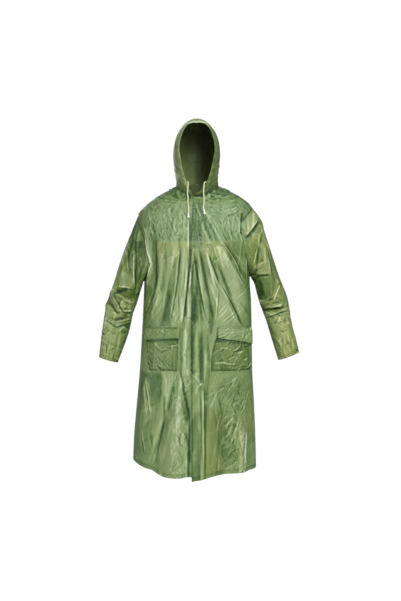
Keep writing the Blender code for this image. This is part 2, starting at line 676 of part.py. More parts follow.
def pocket_grid(name, rows, sides):
    """Points and normals on a front's own rows, spread evenly between a pocket's two sides."""
    points, normals = front_grid(name)
    first, last = POCKET_COLUMNS[name]
    columns = np.arange(points.shape[1])
    share = np.linspace(0, 1, len(rows))
    near = first + smooth(share, sides["share"], sides["near"])
    far = last + smooth(share, sides["share"], sides["far"])
    at = np.linspace(near, far, last - first + 1, axis=-1)
    grid = [
        np.stack([np.interp(a, columns, part[row, :, i]) for a, row in zip(at, rows)])
        for part in (points, normals)
        for i in range(3)
    ]
    return np.stack(grid[:3], axis=-1), unit(np.stack(grid[3:], axis=-1))


def build_pocket(name):
    """The bag and its flap, on the front's own rows and moved out from it."""
    rows = [i for i, down in enumerate(BODY_ROWS) if BAG_TOP <= down <= BAG_LOW]
    points, normals = pocket_grid(name, rows, POCKET_SIDES[name])
    across = np.abs(np.linspace(-1, 1, points.shape[1]))[None]
    along = np.linspace(0, 1, len(rows))[:, None]
    bulge = POCKET_BULGE * (1 - across**4) * np.sqrt(1 - along**4)
    outer = points + normals * (POCKET_CLEAR + WALL + bulge)[..., None]
    wall("pocket_" + name, outer, normals, WALL, film("film_pocket_" + name, FILM_OLIVE))
    rows = [i for i, down in enumerate(BODY_ROWS) if FLAP_TOP <= down <= FLAP_LOW]
    points, normals = pocket_grid(name, rows, FLAP_SIDES[name])
    over = np.array([0.0] + [POCKET_CLEAR + WALL + POCKET_BULGE + FLAP_LIFT] * (len(rows) - 1))
    lift = np.broadcast_to((SEAM_GAP + WALL + over)[:, None], points.shape[:2])
    outer = points + normals * lift[..., None]
    share = (np.array([BODY_ROWS[i] for i in rows]) - FLAP_TOP) / (FLAP_LOW - FLAP_TOP)
    outer[..., 2] -= share[:, None] * np.linspace(*FLAP_SLANT[name], points.shape[1])
    wall("flap_" + name, outer, normals, WALL, film("film_flap_" + name, FILM))


def turned(name, profile, steps, material):
    """A closed turned solid on the Z axis: profile runs from its top pole down to its low pole."""
    angles = np.linspace(0, 2 * np.pi, steps, endpoint=False)
    rings = [
        [(r * np.cos(a), r * np.sin(a), z) for a in angles] for r, z in profile[1:-1]
    ]
    points = [(0, 0, profile[0][1])] + [p for ring_ in rings for p in ring_] + [(0, 0, profile[-1][1])]
    faces = []
    last = len(points) - 1
    for k in range(steps):
        n = (k + 1) % steps
        faces.append((0, 1 + k, 1 + n))
        for ring_at in range(len(rings) - 1):
            a, b = 1 + ring_at * steps, 1 + (ring_at + 1) * steps
            faces.append((a + k, b + k, b + n, a + n))
        a = 1 + (len(rings) - 1) * steps
        faces.append((last, a + n, a + k))
    return make_object(name, points, faces, material)


def aim(item, place, direction):
    """Moves a turned solid to place, with its Z axis along direction."""
    item.location = place
    item.rotation_mode = "QUATERNION"
    item.rotation_quaternion = Vector(direction).to_track_quat("Z", "Y")


def build_studs():
    material = film("press_stud", STUD_GREEN, 0.3)
    profile = [(0.0, STUD_HEIGHT)]
    profile += [
        (STUD_RADIUS * np.sin(a), STUD_HEIGHT * (0.35 + 0.65 * np.cos(a)))
        for a in np.radians([30, 55, 75, 90])
    ]
    profile += [(STUD_RADIUS, 0.0), (0.0, 0.0)]
    points, normals = front_grid("left")
    for number, down in enumerate(STUD_DOWNS, 1):
        share = (STUD_ACROSS - LAP_EDGE_LOW) / (LAP_MIDDLE - LAP_EDGE_LOW)
        place, out = (
            np.array([np.interp(down, BODY_ROWS, grid[:, 0, i] * (1 - share) + grid[:, 1, i] * share)
                      for i in range(3)])
            for grid in (points, normals)
        )
        out = unit(out)
        stud = turned("press_stud_%d" % number, profile, STUD_STEPS, material)
        aim(stud, place + out * SEAM_GAP, out)


def curve_through(route):
    """Points on a smooth curve through the route's points, closer together near its start."""
    route = np.array(route)
    length = np.concatenate([[0], np.cumsum(np.linalg.norm(np.diff(route, axis=0), axis=1))])
    at = length[-1] * np.linspace(0, 1, CORD_POINTS) ** CORD_CROWDING
    return np.stack([smooth(at, length, route[:, i]) for i in range(3)], axis=-1)


def build_cord(name):
    points = curve_through(CORD_ROUTES[name])
    curve = bpy.data.curves.new("drawcord_" + name, "CURVE")
    curve.dimensions = "3D"
    curve.bevel_depth = CORD_DIAMETER / 2
    curve.bevel_resolution = 2
    curve.use_fill_caps = True
    spline = curve.splines.new("POLY")
    spline.points.add(len(points) - 1)
    for point, place in zip(spline.points, points):
        point.co = (*place, 1.0)
    curve.materials.append(film("cord_" + name, CREAM, 0.8))
    bpy.context.scene.collection.objects.link(bpy.data.objects.new("drawcord_" + name, curve))
    end = points[-1] - points[-2]
    direction = end / np.linalg.norm(end)
    radius, along = TIP_PROFILE["radius"], TIP_PROFILE["along"]
    profile = [(0.0, 0.0)]
    profile += [(r, a * TIP_LENGTH) for a, r in zip(along, radius)]
    profile += [(0.0, TIP_LENGTH)]
    profile = [(r, z) for r, z in reversed(profile)]
    tip = turned("cord_tip_" + name, profile, TIP_STEPS, film("cord_tip_" + name, WHITE, 0.4))
    aim(tip, points[-1] + direction * SEAM_GAP, direction)


clear_scene()
build_yoke()
build_back()
for hand in ("left", "right"):
    build_front(hand)
    build_sleeve(hand)
    build_hood(hand)
    build_pocket(hand)
    build_cord(hand)
build_studs()
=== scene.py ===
"""Looks of a hooded raincoat of thin PVC film, hollow, in the shape it has when it is worn.

Metres, +Z up. The front faces -Y and +X is the wearer's left. The origin lies midway between the
points where the neck seam crosses the shoulders. A place on the body has two numbers: turn, the
angle round it from the centre front towards +X, and down, how far its ring lies below the origin.

Each surface is a grid of points, moved out by folds and creases from tables, and made a thin shell.
Its tint and shade is three numbers at each point. Tone is paler above 0 and darker below; it
holds the film's own tone and painted highlights and shade on folds, creases, planes and sides.
Warmth is yellower above 0 and bluer below, and crinkle is how strongly the finest creases show.
"""

import bpy
import numpy as np
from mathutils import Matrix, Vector


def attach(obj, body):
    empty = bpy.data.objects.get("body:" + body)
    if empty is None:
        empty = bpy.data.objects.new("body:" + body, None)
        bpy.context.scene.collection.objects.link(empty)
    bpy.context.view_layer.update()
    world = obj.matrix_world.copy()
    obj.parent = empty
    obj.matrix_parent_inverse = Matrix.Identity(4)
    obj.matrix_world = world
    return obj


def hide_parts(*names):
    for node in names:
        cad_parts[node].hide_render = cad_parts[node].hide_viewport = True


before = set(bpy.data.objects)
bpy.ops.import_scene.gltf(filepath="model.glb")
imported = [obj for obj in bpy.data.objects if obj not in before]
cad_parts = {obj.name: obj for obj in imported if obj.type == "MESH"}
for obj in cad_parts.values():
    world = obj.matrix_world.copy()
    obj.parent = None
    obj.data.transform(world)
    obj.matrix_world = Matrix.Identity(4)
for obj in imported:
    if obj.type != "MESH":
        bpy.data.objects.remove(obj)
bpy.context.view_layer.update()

EYE = (0.0147, -3.6, -0.4767)
SENSOR = 36.0
PICTURE_WIDTH, PICTURE_FOCUS = 401, 857.14
FLOOR = -1.75

WALL = 0.0018
LAYER_GAP = 0.0009
SEAM_GAP = 0.0003
SHELL = 0.0008
HEM_DOWN = 1.15
ARC_RADIUS = 0.19
TURN_NUDGE, DOWN_NUDGE = np.radians(0.5), 0.002
FRONT_TURNS = np.radians(np.linspace(-40, 40, 161))
SIDE_TURNS = np.radians(np.linspace(-90, 90, 181))

# Welded seams and dark edges: a dark edge is a tone and the width over which it fades. The lap's
# dark edge is a painted shadow where the left front lies over the right; the others are dark joins.
WELD_WIDTH, WELD_DEPTH, WELD_TONE = 0.0022, 0.0005, -0.10
HEM_WELD = 0.015
SEAM_WELD, SEAM_DARK = 0.004, (-0.22, 0.0035)
LAP_WELD, LAP_WELD_DEPTH, LAP_WELD_TONE = 0.0255, 0.0004, -0.05
LAP_ROLL, LAP_ROLL_WIDTH, LAP_EDGE_SHADOW = 0.0012, 0.004, (-0.30, 0.0032)
YOKE_WELD, YOKE_RIDGE, YOKE_TONE = 0.0035, 0.0006, 0.06
YOKE_LOW_DARK, YOKE_TOP_DARK = (-0.18, 0.0022), (-0.22, 0.0028)

# Rows and columns of the grids. A crowd is a last stretch and how many rows crowd into it.
FRONT_ROWS, FRONT_COLUMNS = 300, 148
BACK_ROWS, BACK_COLUMNS = 250, 176
YOKE_ROWS, YOKE_COLUMNS = 26, 420
HEM_CROWD = (0.030, 22)
SLEEVE_ROWS, SLEEVE_COLUMNS, CUFF_CROWD = 136, 112, (0.04, 14)
HOOD_ROWS, HOOD_COLUMNS, RIM_COLUMNS, RIM_CROWD = 112, 76, 36, 0.16
BAG_ROWS, BAG_COLUMNS = 84, 96
FLAP_ROWS, FLAP_COLUMNS = 44, 110

LAP_EDGE_TOP = -0.014
LAP_EDGE_LOW = -0.021
LAP_EDGE_SETTLES = 0.25
UNDERLAP_EDGE = 0.025
UNDERLAP_TURN, UNDERLAP_FADE = np.radians(26), 0.6
YOKE_TOP = -0.002
YOKE_EDGE = 0.042


def table(columns, *rows):
    """Rows of numbers as named columns."""
    return dict(zip(columns.split(), np.array(rows, float).T))


def marks(columns, *rows):
    """Rows as named columns, places and sizes over a thousand and looks over a hundred: they
    are written in millimetres (a hood's rise in thousandths) and in hundredths."""
    named = table(columns, *rows)
    return {name: named[name] / (100 if name in LOOKS else 1000) for name in named}


BODY = table(
    "down front_drop back_drop right left front back square",
    (-0.002, 0.052, -0.018, 0.088, 0.09, 0.088, 0.078, 0),
    (0.018, 0.04, -0.012, 0.125, 0.137, 0.097, 0.093, 0),
    (0.042, 0.026, -0.006, 0.168, 0.181, 0.106, 0.104, 0.005),
    (0.075, 0.011, -0.002, 0.211, 0.222, 0.116, 0.113, 0.01),
    (0.118, 0.004, 0, 0.246, 0.238, 0.125, 0.118, 0.015),
    (0.2, 0, 0, 0.238, 0.235, 0.133, 0.121, 0.022),
    (0.29, 0, 0, 0.228, 0.228, 0.137, 0.121, 0.028),
    (0.385, 0, 0, 0.221, 0.221, 0.136, 0.119, 0.028),
    (0.48, 0, 0, 0.225, 0.227, 0.135, 0.12, 0.026),
    (0.632, 0, 0, 0.232, 0.23, 0.138, 0.126, 0.024),
    (0.77, 0, 0, 0.24, 0.232, 0.143, 0.132, 0.022),
    (0.88, 0, 0, 0.25, 0.238, 0.148, 0.138, 0.02),
    (1.05, 0, 0, 0.264, 0.2455, 0.155, 0.146, 0.018),
    (HEM_DOWN, 0, 0, 0.268, 0.248, 0.159, 0.15, 0.018),
)

# How far the hem hangs below the last ring, by degrees of turn, on the wearer's left and right.
HEM_FADE_FROM = 0.93
HEM_LEFT = table(
    "turn below",
    (-8, 0.061), (6, 0.045), (18, 0.03), (38, 0.026), (90, 0.019), (135, 0.016), (180, 0.01),
)
HEM_RIGHT = table(
    "turn below",
    (-180, 0.01), (-135, -0.002), (-90, -0.013), (-44, 0.016), (-28, 0.038), (-16, 0.044),
    (-6, 0.039), (8, 0.041),
)

ARMHOLES = {
    "left": dict(side=1, top=0.075, bottom=0.375, front=42, front_at=0.30, back=29, back_at=0.5),
    "right": dict(side=-1, top=0.118, bottom=0.392, front=33, front_at=0.72, back=27, back_at=0.6),
}

# Folds and creases, in millimetres, with the shade in hundredths. Each runs between two places and
# has a bell-shaped section; a negative height is a valley, and shade is the painted highlight
# (above
# 0) or painted shade (below 0) along it. On the body the first number of each place is X, the
# second is down.
LOOKS = ("shade", "tone", "warmth", "crinkle")
CREASE = "across0 down0 across1 down1 half_width height bow shade"

FRONT_FOLDS = marks(
    CREASE,
    (18, 130, 36, 620, 16, -7, 4, -14),
    (40, 160, 68, 580, 17, 5, 0, 10),
    (30, 140, 140, 480, 18, -7, -10, -12),
    (85, 200, 178, 470, 20, 7, 0, 10),
    (100, 180, 198, 400, 19, -9, 0, -16),
    (47, 520, 36, 860, 15, 6, 0, 12),
    (24, 550, 20, 930, 14, -7, 0, -16),
    (18, 860, 16, 1350, 13, 9, 0, 4),
    (-4, 840, 0, 1350, 13, -6, 0, -6),
    (75, 860, 68, 1350, 20, 7, 0, 2),
    (110, 900, 120, 1350, 22, -10, 0, -10),
    (162, 880, 188, 1350, 22, 12, 0, 14),
    (205, 800, 222, 1350, 20, -7, 0, -6),
    (-200, 150, -198, 440, 14, 6, 0, 12),
    (-176, 190, -182, 440, 17, -9, 0, -22),
    (-146, 240, -190, 620, 20, 7, 0, 6),
    (-74, 220, -102, 500, 16, -7, 0, -16),
    (-96, 240, -128, 560, 17, 6, 0, 10),
    (-38, 240, -54, 620, 15, -7, 0, -8),
    (-58, 270, -78, 600, 15, 6, 0, 10),
    (-86, 820, -200, 1250, 19, -11, -12, -18),
    (-60, 840, -138, 1350, 19, 10, -6, 12),
    (-40, 820, -44, 1350, 15, -13, 0, -24),
    (-205, 740, -224, 1100, 19, 7, 0, 8),
    (-155, 760, -176, 1020, 20, -7, 0, -12),
)

BACK_FOLDS = marks(
    CREASE,
    (20, 340, 28, 1350, 24, -10, 4, -16),
    (-35, 420, -45, 1350, 24, 9, 0, 12),
    (78, 360, 92, 1350, 24, 9, -4, 12),
    (-85, 300, -110, 1350, 24, -12, 0, -18),
    (125, 400, 160, 1350, 24, -12, 0, -18),
    (-130, 460, -168, 1350, 24, 10, 4, 12),
    (160, 300, 205, 900, 22, 8, 0, 10),
    (-155, 260, -185, 660, 20, -9, 0, -14),
    (60, 140, 130, 340, 20, -7, 6, -12),
    (-60, 140, -140, 320, 20, -7, -6, -12),
)

FRONT_CREASES = marks(
    CREASE,
    (-64.3, 240, -106.1, 577, 3.2, -1.6, 2, -75),
    (-26.1, 130, -28.6, 320, 3, -1.4, 0, -60),
    (-28.6, 300, -59.2, 590, 3.2, -1.8, 2, -80),
    (-41.4, 345, -49, 440, 2.8, 1.4, 0, 60),
    (-8.2, 262, -23.5, 440, 3, -1.4, 0, -55),
    (-216, 205, -183, 335, 3.6, 2.4, 0, 100),
    (-183, 318, -209.6, 420, 3.6, 2.4, 0, 90),
    (-13.7, 264, 44.6, 575, 3.2, -1.6, -4, -65),
    (2.2, 330, 39.3, 560, 2.8, 1.4, 0, 50),
    (39.3, 270, 100, 425, 3.4, -1.8, 0, -70),
    (90, 400, 182.4, 575, 3.4, -1.8, 0, -75),
    (97.6, 225, 198.3, 385, 3.4, -1.6, -4, -60),
    (183, 105, 180.5, 215, 6, -2.6, 0, -80),
    (180.5, 190, 208.6, 300, 6, -2.6, 0, -95),
    (208, 270, 211.1, 400, 5, -2.2, 0, -80),
    (196, 225, 204, 268, 3, 1.6, 0, 70),
    (65.8, 380, 92.3, 445, 2.6, -1.2, 0, -45),
    (92.3, 425, 76.4, 580, 2.8, -1.2, 0, -45),
    (-67.5, 750, -28.7, 965, 3.6, -1.8, 0, -70),
    (-28.7, 940, -37.3, 1190, 3.6, -1.8, 0, -70),
    (27.3, 760, 31.6, 1190, 3.2, -1.4, 2, -50),
    (14.4, 940, 18.7, 1180, 3, 1.2, 0, 35),
    (-132, 780, -136.4, 970, 4, -1.4, 0, -40),
    (-136.4, 950, -178, 1130, 4, -1.4, 3, -40),
    (-209.5, 775, -188, 950, 3.4, 1.6, 4, 60),
    (-220, 1000, -212, 1100, 3.4, 1.4, 0, 50),
    (203, 1010, 186, 1130, 3.6, 1.8, 0, 80),
    (-70, 180, -80, 430, 5, -2, 2, -30),
    (-50, 225, -60, 450, 5, 2, 0, 22),
    (-90, 245, -110, 455, 6, 2, 0, 18),
    (-125, 260, -150, 475, 8, -2.5, 3, -30),
    (-35, 250, -35, 400, 4, -1.5, 0, -20),
    (-25, 355, -30, 425, 3, 2, 0, 80),
    (-185, 165, -165, 225, 7, -2, 0, -35),
    (-195, 100, -185, 180, 4, 2, 0, 25),
    (-165, 260, -170, 455, 12, -3, 0, -45),
    (-215, 220, -185, 345, 4, 3, 0, 40),
    (-200, 280, -190, 345, 3, -2, 0, -40),
    (-185, 345, -210, 450, 5, 3, 0, 35),
    (-140, 115, -165, 190, 3, 1.5, 0, 20),
    (-120, 105, -100, 160, 3, 1.5, 0, 22),
    (-110, 155, -95, 195, 3, -1.5, 0, -20),
    (-140, 130, -110, 185, 3, 1.5, 2, 15),
    (-90, 130, -100, 225, 3, 1.2, 0, 20),
    (-65, 105, -70, 180, 4, 1.5, 0, 20),
    (-50, 130, -55, 205, 3, 1.2, 0, 20),
    (-160, 210, -130, 230, 4, -1.5, 0, -18),
    (-140, 195, -95, 185, 3, 1.2, 0, 18),
    (-130, 225, -135, 260, 3, 1, 0, 20),
    (-160, 75, -170, 115, 4, -1.5, 0, -25),
    (-135, 55, -65, 70, 5, -1.5, 0, -20),
    (-225, 160, -200, 225, 4, 2, 0, 30),
    (-10, 55, 20, 145, 4, 2.5, 0, 45),
    (5, 65, 100, 245, 4, 2.5, 0, 40),
    (10, 105, 65, 250, 6, -2.5, 0, -35),
    (20, 95, 175, 355, 4, 2, 0, 22),
    (100, 245, 145, 320, 10, -3, 0, -35),
    (145, 320, 200, 415, 8, -2.5, 0, -32),
    (80, 245, 110, 355, 4, 2, 0, 30),
    (90, 330, 145, 475, 7, -3, 0, -40),
    (45, 290, 95, 415, 6, -3, 0, -35),
    (50, 400, 90, 515, 5, 2, 0, 30),
    (15, 275, 50, 475, 5, -3, 0, -40),
    (35, 260, 75, 435, 5, 2, 0, 35),
    (-5, 275, 5, 475, 6, -3, 0, -40),
    (-15, 260, -5, 330, 4, 2, 0, 30),
    (-20, 115, -15, 280, 6, -2, 0, -12),
    (-30, 105, -25, 425, 2.5, -1.2, 0, -35),
    (85, 130, 110, 190, 3, 1.5, 3, 30),
    (100, 165, 125, 225, 3, 1.5, -3, 30),
    (125, 185, 145, 235, 3, 1.5, 0, 35),
    (80, 105, 90, 165, 3, -1.5, 0, -20),
    (110, 130, 95, 185, 3, 1.2, 0, 25),
    (130, 140, 120, 200, 3, 1.2, 0, 25),
    (150, 130, 140, 195, 3, 1.2, 0, 22),
    (110, 105, 170, 90, 4, 1.5, 0, 25),
    (95, 95, 145, 130, 3, 1.5, 0, 25),
    (145, 105, 190, 140, 3, 1.2, 0, 20),
    (165, 115, 185, 165, 4, -2, 0, -30),
    (130, 140, 145, 225, 4, -1.5, 3, -25),
    (145, 205, 175, 230, 3, 1, 0, 20),
    (150, 280, 200, 340, 4, 1.5, 0, 20),
    (190, 225, 180, 385, 7, -2, 0, -30),
    (160, 465, 220, 390, 2.5, 1.5, 0, 35),
    (145, 455, 205, 385, 2.5, -1, 0, -15),
    (-10, 0, 40, 5, 6, -2, 0, -20),
    (55, 0, 120, 25, 8, -2, 0, -30),
    (40, 55, 80, 75, 5, -1.5, 0, -20),
    (-5, 435, -15, 580, 9, -3, 0, -35),
    (-40, 435, -30, 575, 5, 2.5, 0, 35),
    (-60, 455, -65, 580, 6, 2.5, 0, 25),
    (-90, 445, -105, 580, 9, 2.5, 0, 22),
    (-75, 435, -70, 550, 3, -1.5, 0, -30),
    (-140, 435, -185, 545, 7, 2.5, 0, 28),
    (-165, 435, -210, 535, 7, -2.5, 0, -30),
    (-110, 435, -135, 575, 7, -2.5, 0, -28),
    (-200, 435, -215, 505, 5, 2, 0, 25),
    (10, 435, 25, 580, 5, -2.5, 0, -35),
    (30, 435, 50, 575, 5, 2.5, 0, 30),
    (45, 435, 70, 565, 5, -2, 0, -30),
    (80, 455, 80, 585, 3.5, 2, 0, 30),
    (125, 470, 190, 585, 9, -2.5, 0, -30),
    (165, 470, 215, 540, 7, -2, 0, -20),
    (85, 550, 130, 505, 2.5, 1.5, 0, 35),
    (95, 570, 175, 500, 2.5, 1.5, 0, 35),
    (110, 575, 190, 505, 2.5, 1.2, 0, 30),
    (90, 530, 120, 490, 2.5, 1.2, 0, 25),
    (160, 470, 200, 435, 2.5, 1.2, 0, 30),
    (-35, 575, -50, 720, 5, -2, 3, -25),
    (-45, 580, -60, 805, 5, 2.5, 3, 25),
    (-30, 605, -40, 755, 3, -1.5, -3, -30),
    (-15, 600, -20, 805, 8, -2.5, 0, -25),
    (15, 585, 20, 860, 8, -4, 0, -45),
    (35, 665, 30, 850, 7, 2.5, 0, 30),
    (50, 595, 60, 735, 6, 2, 0, 22),
    (5, 805, -5, 860, 5, 2, 0, 30),
    (-30, 755, -10, 780, 3, -2, 3, -40),
    (-10, 780, 20, 815, 4, 2, 0, 35),
    (15, 810, 15, 820, 4, 2, 0, 90),
    (-60, 805, -35, 990, 10, -4, 0, -42),
    (-65, 780, -70, 895, 6, 2.5, 0, 30),
    (-70, 870, -90, 1110, 16, 2.5, 0, 20),
    (-45, 980, -30, 1110, 6, -3, 0, -35),
    (25, 815, 25, 1120, 3.5, 3, 0, 38),
    (15, 840, 20, 1120, 4, -2, 0, -30),
    (10, 940, -15, 1110, 8, 1.5, 0, 12),
    (-90, 805, -125, 940, 6, -3, 0, -45),
    (-125, 940, -180, 1100, 7, -3.5, 0, -45),
    (-100, 950, -140, 1100, 8, 2.5, 0, 22),
    (-135, 765, -135, 885, 2.5, 1.5, 0, 35),
    (-125, 780, -130, 875, 9, 1.5, 0, 25),
    (-215, 810, -205, 945, 5, 2, 3, 30),
    (-200, 810, -185, 865, 3, 1.5, 0, 30),
    (-225, 800, -215, 880, 4, 1.5, 0, 25),
    (-225, 995, -230, 1090, 5, 2, 0, 25),
    (-205, 880, -190, 930, 3, 1.5, 0, 25),
    (-190, 1010, -180, 1075, 5, -2, 0, -20),
    (85, 840, 50, 915, 3.5, 2, 0, 35),
    (115, 825, 80, 850, 3, 1.5, 0, 25),
    (160, 795, 120, 850, 3, 1.5, 0, 30),
    (165, 785, 145, 805, 3, 1.2, 0, 25),
    (150, 945, 115, 985, 4, 2.5, 0, 45),
    (145, 975, 120, 1025, 4, 2.5, 0, 40),
    (165, 955, 135, 1055, 3.5, 2, 0, 35),
    (180, 935, 215, 855, 3.5, 2, 0, 30),
    (155, 1005, 150, 1055, 3, 2, 0, 35),
    (110, 1015, 90, 1060, 3, 1.5, 0, 25),
    (85, 870, 110, 955, 3, -1.5, 0, -20),
    (145, 895, 165, 935, 3.5, 1.5, 0, 25),
    (70, 905, 90, 985, 3, 1.2, 0, 20),
    (95, 930, 80, 1000, 3, 1.2, 0, 20),
    (205, 995, 185, 1105, 5, 3, 0, 65),
    (195, 1060, 195, 1140, 4, 2, 0, 35),
    (90, 1075, 85, 1140, 3, 1, 0, 30),
    (165, 1035, 190, 1100, 5, -2, 0, -25),
    (50, 950, 45, 1090, 8, 1, 0, 10),
    (165, 840, 130, 930, 4, -1.5, 0, -20),
    (30, 870, 80, 840, 3, 1.5, 0, 20),
    (40, 885, 25, 1000, 6, -1.5, 0, -20),
)

BACK_CREASES = marks(
    CREASE,
    (50, 240, 60, 600, 6, 2.5, 4, 25),
    (105, 220, 118, 440, 5, -2, 0, -25),
    (150, 260, 170, 520, 6, 2.5, 0, 28),
    (-15, 260, -10, 700, 6, -2.5, 3, -28),
    (-60, 240, -75, 560, 5, 2, 0, 25),
    (-120, 250, -150, 600, 7, 2.5, 0, 24),
    (-175, 300, -200, 720, 6, -2.5, 0, -30),
    (10, 660, 4, 1140, 5, 2.5, 2, 30),
    (55, 620, 72, 1120, 8, -3, 0, -32),
    (108, 600, 128, 1100, 7, 2.5, 4, 24),
    (185, 620, 205, 1080, 6, 2, 0, 25),
    (-65, 660, -74, 1120, 8, 3, -4, 24),
    (-142, 700, -146, 1100, 6, -3, 0, -35),
    (-198, 780, -214, 1120, 5, 2, 0, 30),
    (60, 100, 155, 200, 5, 2, 4, 24),
    (-55, 100, -150, 220, 5, 2, -4, 22),
    (30, 130, 60, 240, 4, -1.5, 0, -20),
    (-85, 130, -105, 250, 4, -1.5, 0, -22),
)

# Small creases strewn over the patches that look crumpled: fine ones on the chest and the lower
# strips, long ones down the skirt. Each row has its seed, how many there are, and then pairs: from
# and to across, from and to down, mean and spread of the lean in degrees, and the least and most of
# length, half width, height and shade, in the same units as the other creases.
STREWN_UNITS = np.array([[1000], [1000], [1], [1000], [1000], [1000], [100]])
STREWN_FRONT = (
    (11, 90, -190, -20, 75, 235, 4, 34, 15, 60, 2.2, 4.2, 0.6, 2.2, 4, 26),
    (12, 90, 20, 210, 75, 235, -6, 34, 15, 60, 2.2, 4.2, 0.6, 2.2, 4, 26),
    (13, 44, -200, 210, 235, 330, 0, 22, 20, 70, 2.4, 5, 0.4, 1.4, 3, 14),
    (14, 70, -105, -30, 500, 1170, -4, 22, 20, 80, 2, 4, 0.6, 2, 5, 30),
    (15, 64, 90, 210, 800, 1150, -32, 24, 20, 70, 2.2, 4.2, 0.6, 2, 5, 28),
    (16, 26, 0, 140, 300, 850, -16, 14, 50, 180, 2, 3.6, 0.5, 1.4, 5, 18),
    (17, 22, -200, -50, 300, 850, 8, 10, 50, 180, 2, 3.6, 0.5, 1.4, 5, 18),
    (18, 84, -170, 180, -2, 60, 60, 50, 12, 40, 2.4, 4.6, 0.8, 2.6, 8, 42),
    (19, 40, -230, 240, 950, 1160, 0, 16, 30, 100, 2.6, 5.6, 0.5, 1.6, 3, 16),
)
STREWN_BACK = (
    (31, 110, -200, 200, 50, 260, 0, 36, 15, 60, 2.2, 4.4, 0.6, 2, 4, 22),
    (32, 110, -210, 210, 260, 1140, 0, 16, 50, 160, 2.6, 5.8, 0.5, 1.8, 3, 18),
    (33, 50, -160, 160, -2, 50, 60, 50, 12, 40, 2.4, 4.6, 0.8, 2.4, 5, 24),
)

# Where the film is paler or darker, yellower or bluer, and more or less crinkled, as boxes with
# soft edges: X from x0 to x1, down from d0 to d1. In millimetres, with the looks in hundredths.
# Their tone is partly the film's own, as where it lies doubled, and partly painted light and
# shade, as on the darker sides and under the arms.
PATCH = "x0 x1 d0 d1 soft_x soft_top soft_low tone warmth crinkle"
FRONT_PATCHES = marks(
    PATCH,
    (-190, 190, -10, 46, 20, 10, 6, -9, -22, 75),
    (-110, -35, -10, 30, 20, 10, 14, -12, -10, 10),
    (25, 130, -10, 30, 20, 10, 14, 1, -10, 10),
    (-205, 215, 60, 234, 30, 30, 6, -3, -46, 85),
    (-168, 148, 236, 300, 20, 6, 45, 5, 48, 30),
    (-150, -122, 240, 285, 20, 12, 20, -11, 35, 20),
    (128, 178, 236, 320, 16, 8, 30, -10, 25, 20),
    (-205, -95, 300, 580, 50, 60, 60, -5, 6, 0),
    (-105, -28, 300, 560, 30, 80, 80, 3, -5, 20),
    (-13, 20, 60, 300, 6, 40, 120, -19, 18, 0),
    (-24, 20, 330, 1150, 12, 120, 60, -6, 0, 0),
    (90, 210, 300, 580, 40, 60, 60, 4, -5, 20),
    (-235, -142, 775, 890, 12, 16, 80, -11, 10, -20),
    (-250, -120, 890, 1150, 50, 80, 50, -3, 8, 0),
    (-215, -192, 800, 930, 10, 40, 50, 16, 0, 30),
    (-104, -40, 770, 1180, 18, 40, 40, -2, -5, 85),
    (24, 112, 920, 1190, 30, 50, 30, -2, 30, -30),
    (85, 205, 800, 1130, 40, 40, 60, -12, 14, 75),
    (166, 196, 1000, 1150, 10, 60, 40, 20, 0, 30),
    (190, 260, 820, 1010, 30, 50, 50, 4, 50, 20),
    (-280, 280, 1135, 1160, 10, 6, 10, -6, 0, 0),
)
BACK_PATCHES = marks(
    PATCH,
    (-190, 190, -10, 44, 20, 10, 6, -12, -25, 70),
    (-215, 215, 50, 250, 40, 30, 50, 1, -35, 70),
    (-180, 180, 250, 340, 40, 50, 70, 4, 25, 30),
    (-120, -20, 420, 900, 50, 120, 120, -5, 0, 10),
    (60, 150, 500, 1050, 50, 120, 120, 5, -5, 35),
    (-220, -130, 800, 1150, 50, 100, 50, -6, 15, 20),
    (-50, 50, 780, 1160, 40, 100, 50, 3, 10, 50),
    (-280, 280, 1135, 1160, 10, 6, 10, -6, 0, 0),
)

# The sleeves' two edges seen from the front: out is the edge away from the body, in the one
# facing it, each by its distance from the centre and down. Deep is half the depth of the sleeve.
SLEEVES = {
    "left": table(
        "along out_x out_down in_x in_down deep forward",
        (0, 0.222, 0.075, 0.221, 0.375, 0.082, 0),
        (0.12, 0.262, 0.13, 0.2245, 0.381, 0.08, 0),
        (0.3, 0.3, 0.24, 0.238, 0.402, 0.078, 0.002),
        (0.5, 0.346, 0.38, 0.252, 0.452, 0.074, 0.002),
        (0.65, 0.38, 0.47, 0.264, 0.492, 0.069, 0.006),
        (0.8, 0.396, 0.57, 0.29, 0.563, 0.063, 0.014),
        (0.9, 0.411, 0.63, 0.312, 0.638, 0.057, 0.021),
        (1, 0.426, 0.691, 0.3385, 0.724, 0.05, 0.028),
    ),
    "right": table(
        "along out_x out_down in_x in_down deep forward",
        (0, 0.246, 0.118, 0.221, 0.392, 0.08, 0),
        (0.12, 0.275, 0.19, 0.2245, 0.405, 0.079, 0),
        (0.3, 0.311, 0.281, 0.236, 0.436, 0.077, 0.002),
        (0.5, 0.349, 0.403, 0.252, 0.488, 0.073, 0.002),
        (0.65, 0.377, 0.485, 0.268, 0.532, 0.068, 0.006),
        (0.8, 0.394, 0.581, 0.282, 0.6, 0.062, 0.014),
        (0.9, 0.401, 0.645, 0.303, 0.664, 0.055, 0.021),
        (1, 0.408, 0.711, 0.33, 0.734, 0.047, 0.028),
    ),
}
SLEEVE_RADIUS = 0.065
SLEEVE_LENGTH = 0.60
ARMHOLE_FADE = 0.38
SEAM_SHARE = 0.07
UNDERARM_LEAVES = 0.10
UNDERARM_CLEAR = 0.0045
CUFF_WELD, CUFF_DARK = 0.012, (-0.16, 0.0025)
ARMHOLE_DARK = (-0.24, 0.0035)
# A sleeve's creases and folds: where along it each sort starts and over how much it comes in, how
# much lower the creases lie behind, and how much calmer the sleeve is beside the body.
CREASES_START, CREASES_EASE = 0.004, 0.05
FOLDS_START, FOLDS_EASE = 0.02, 0.15
BEHIND_LOWER = 0.013
INNER_CALM, INNER_WIDTH, ELBOW = 0.7, 0.5, 0.5
FACE_EASE = 0.30
PLANES_BEHIND, PLANES_FACING = 0.35, 0.65
SLEEVE_LAY = 3

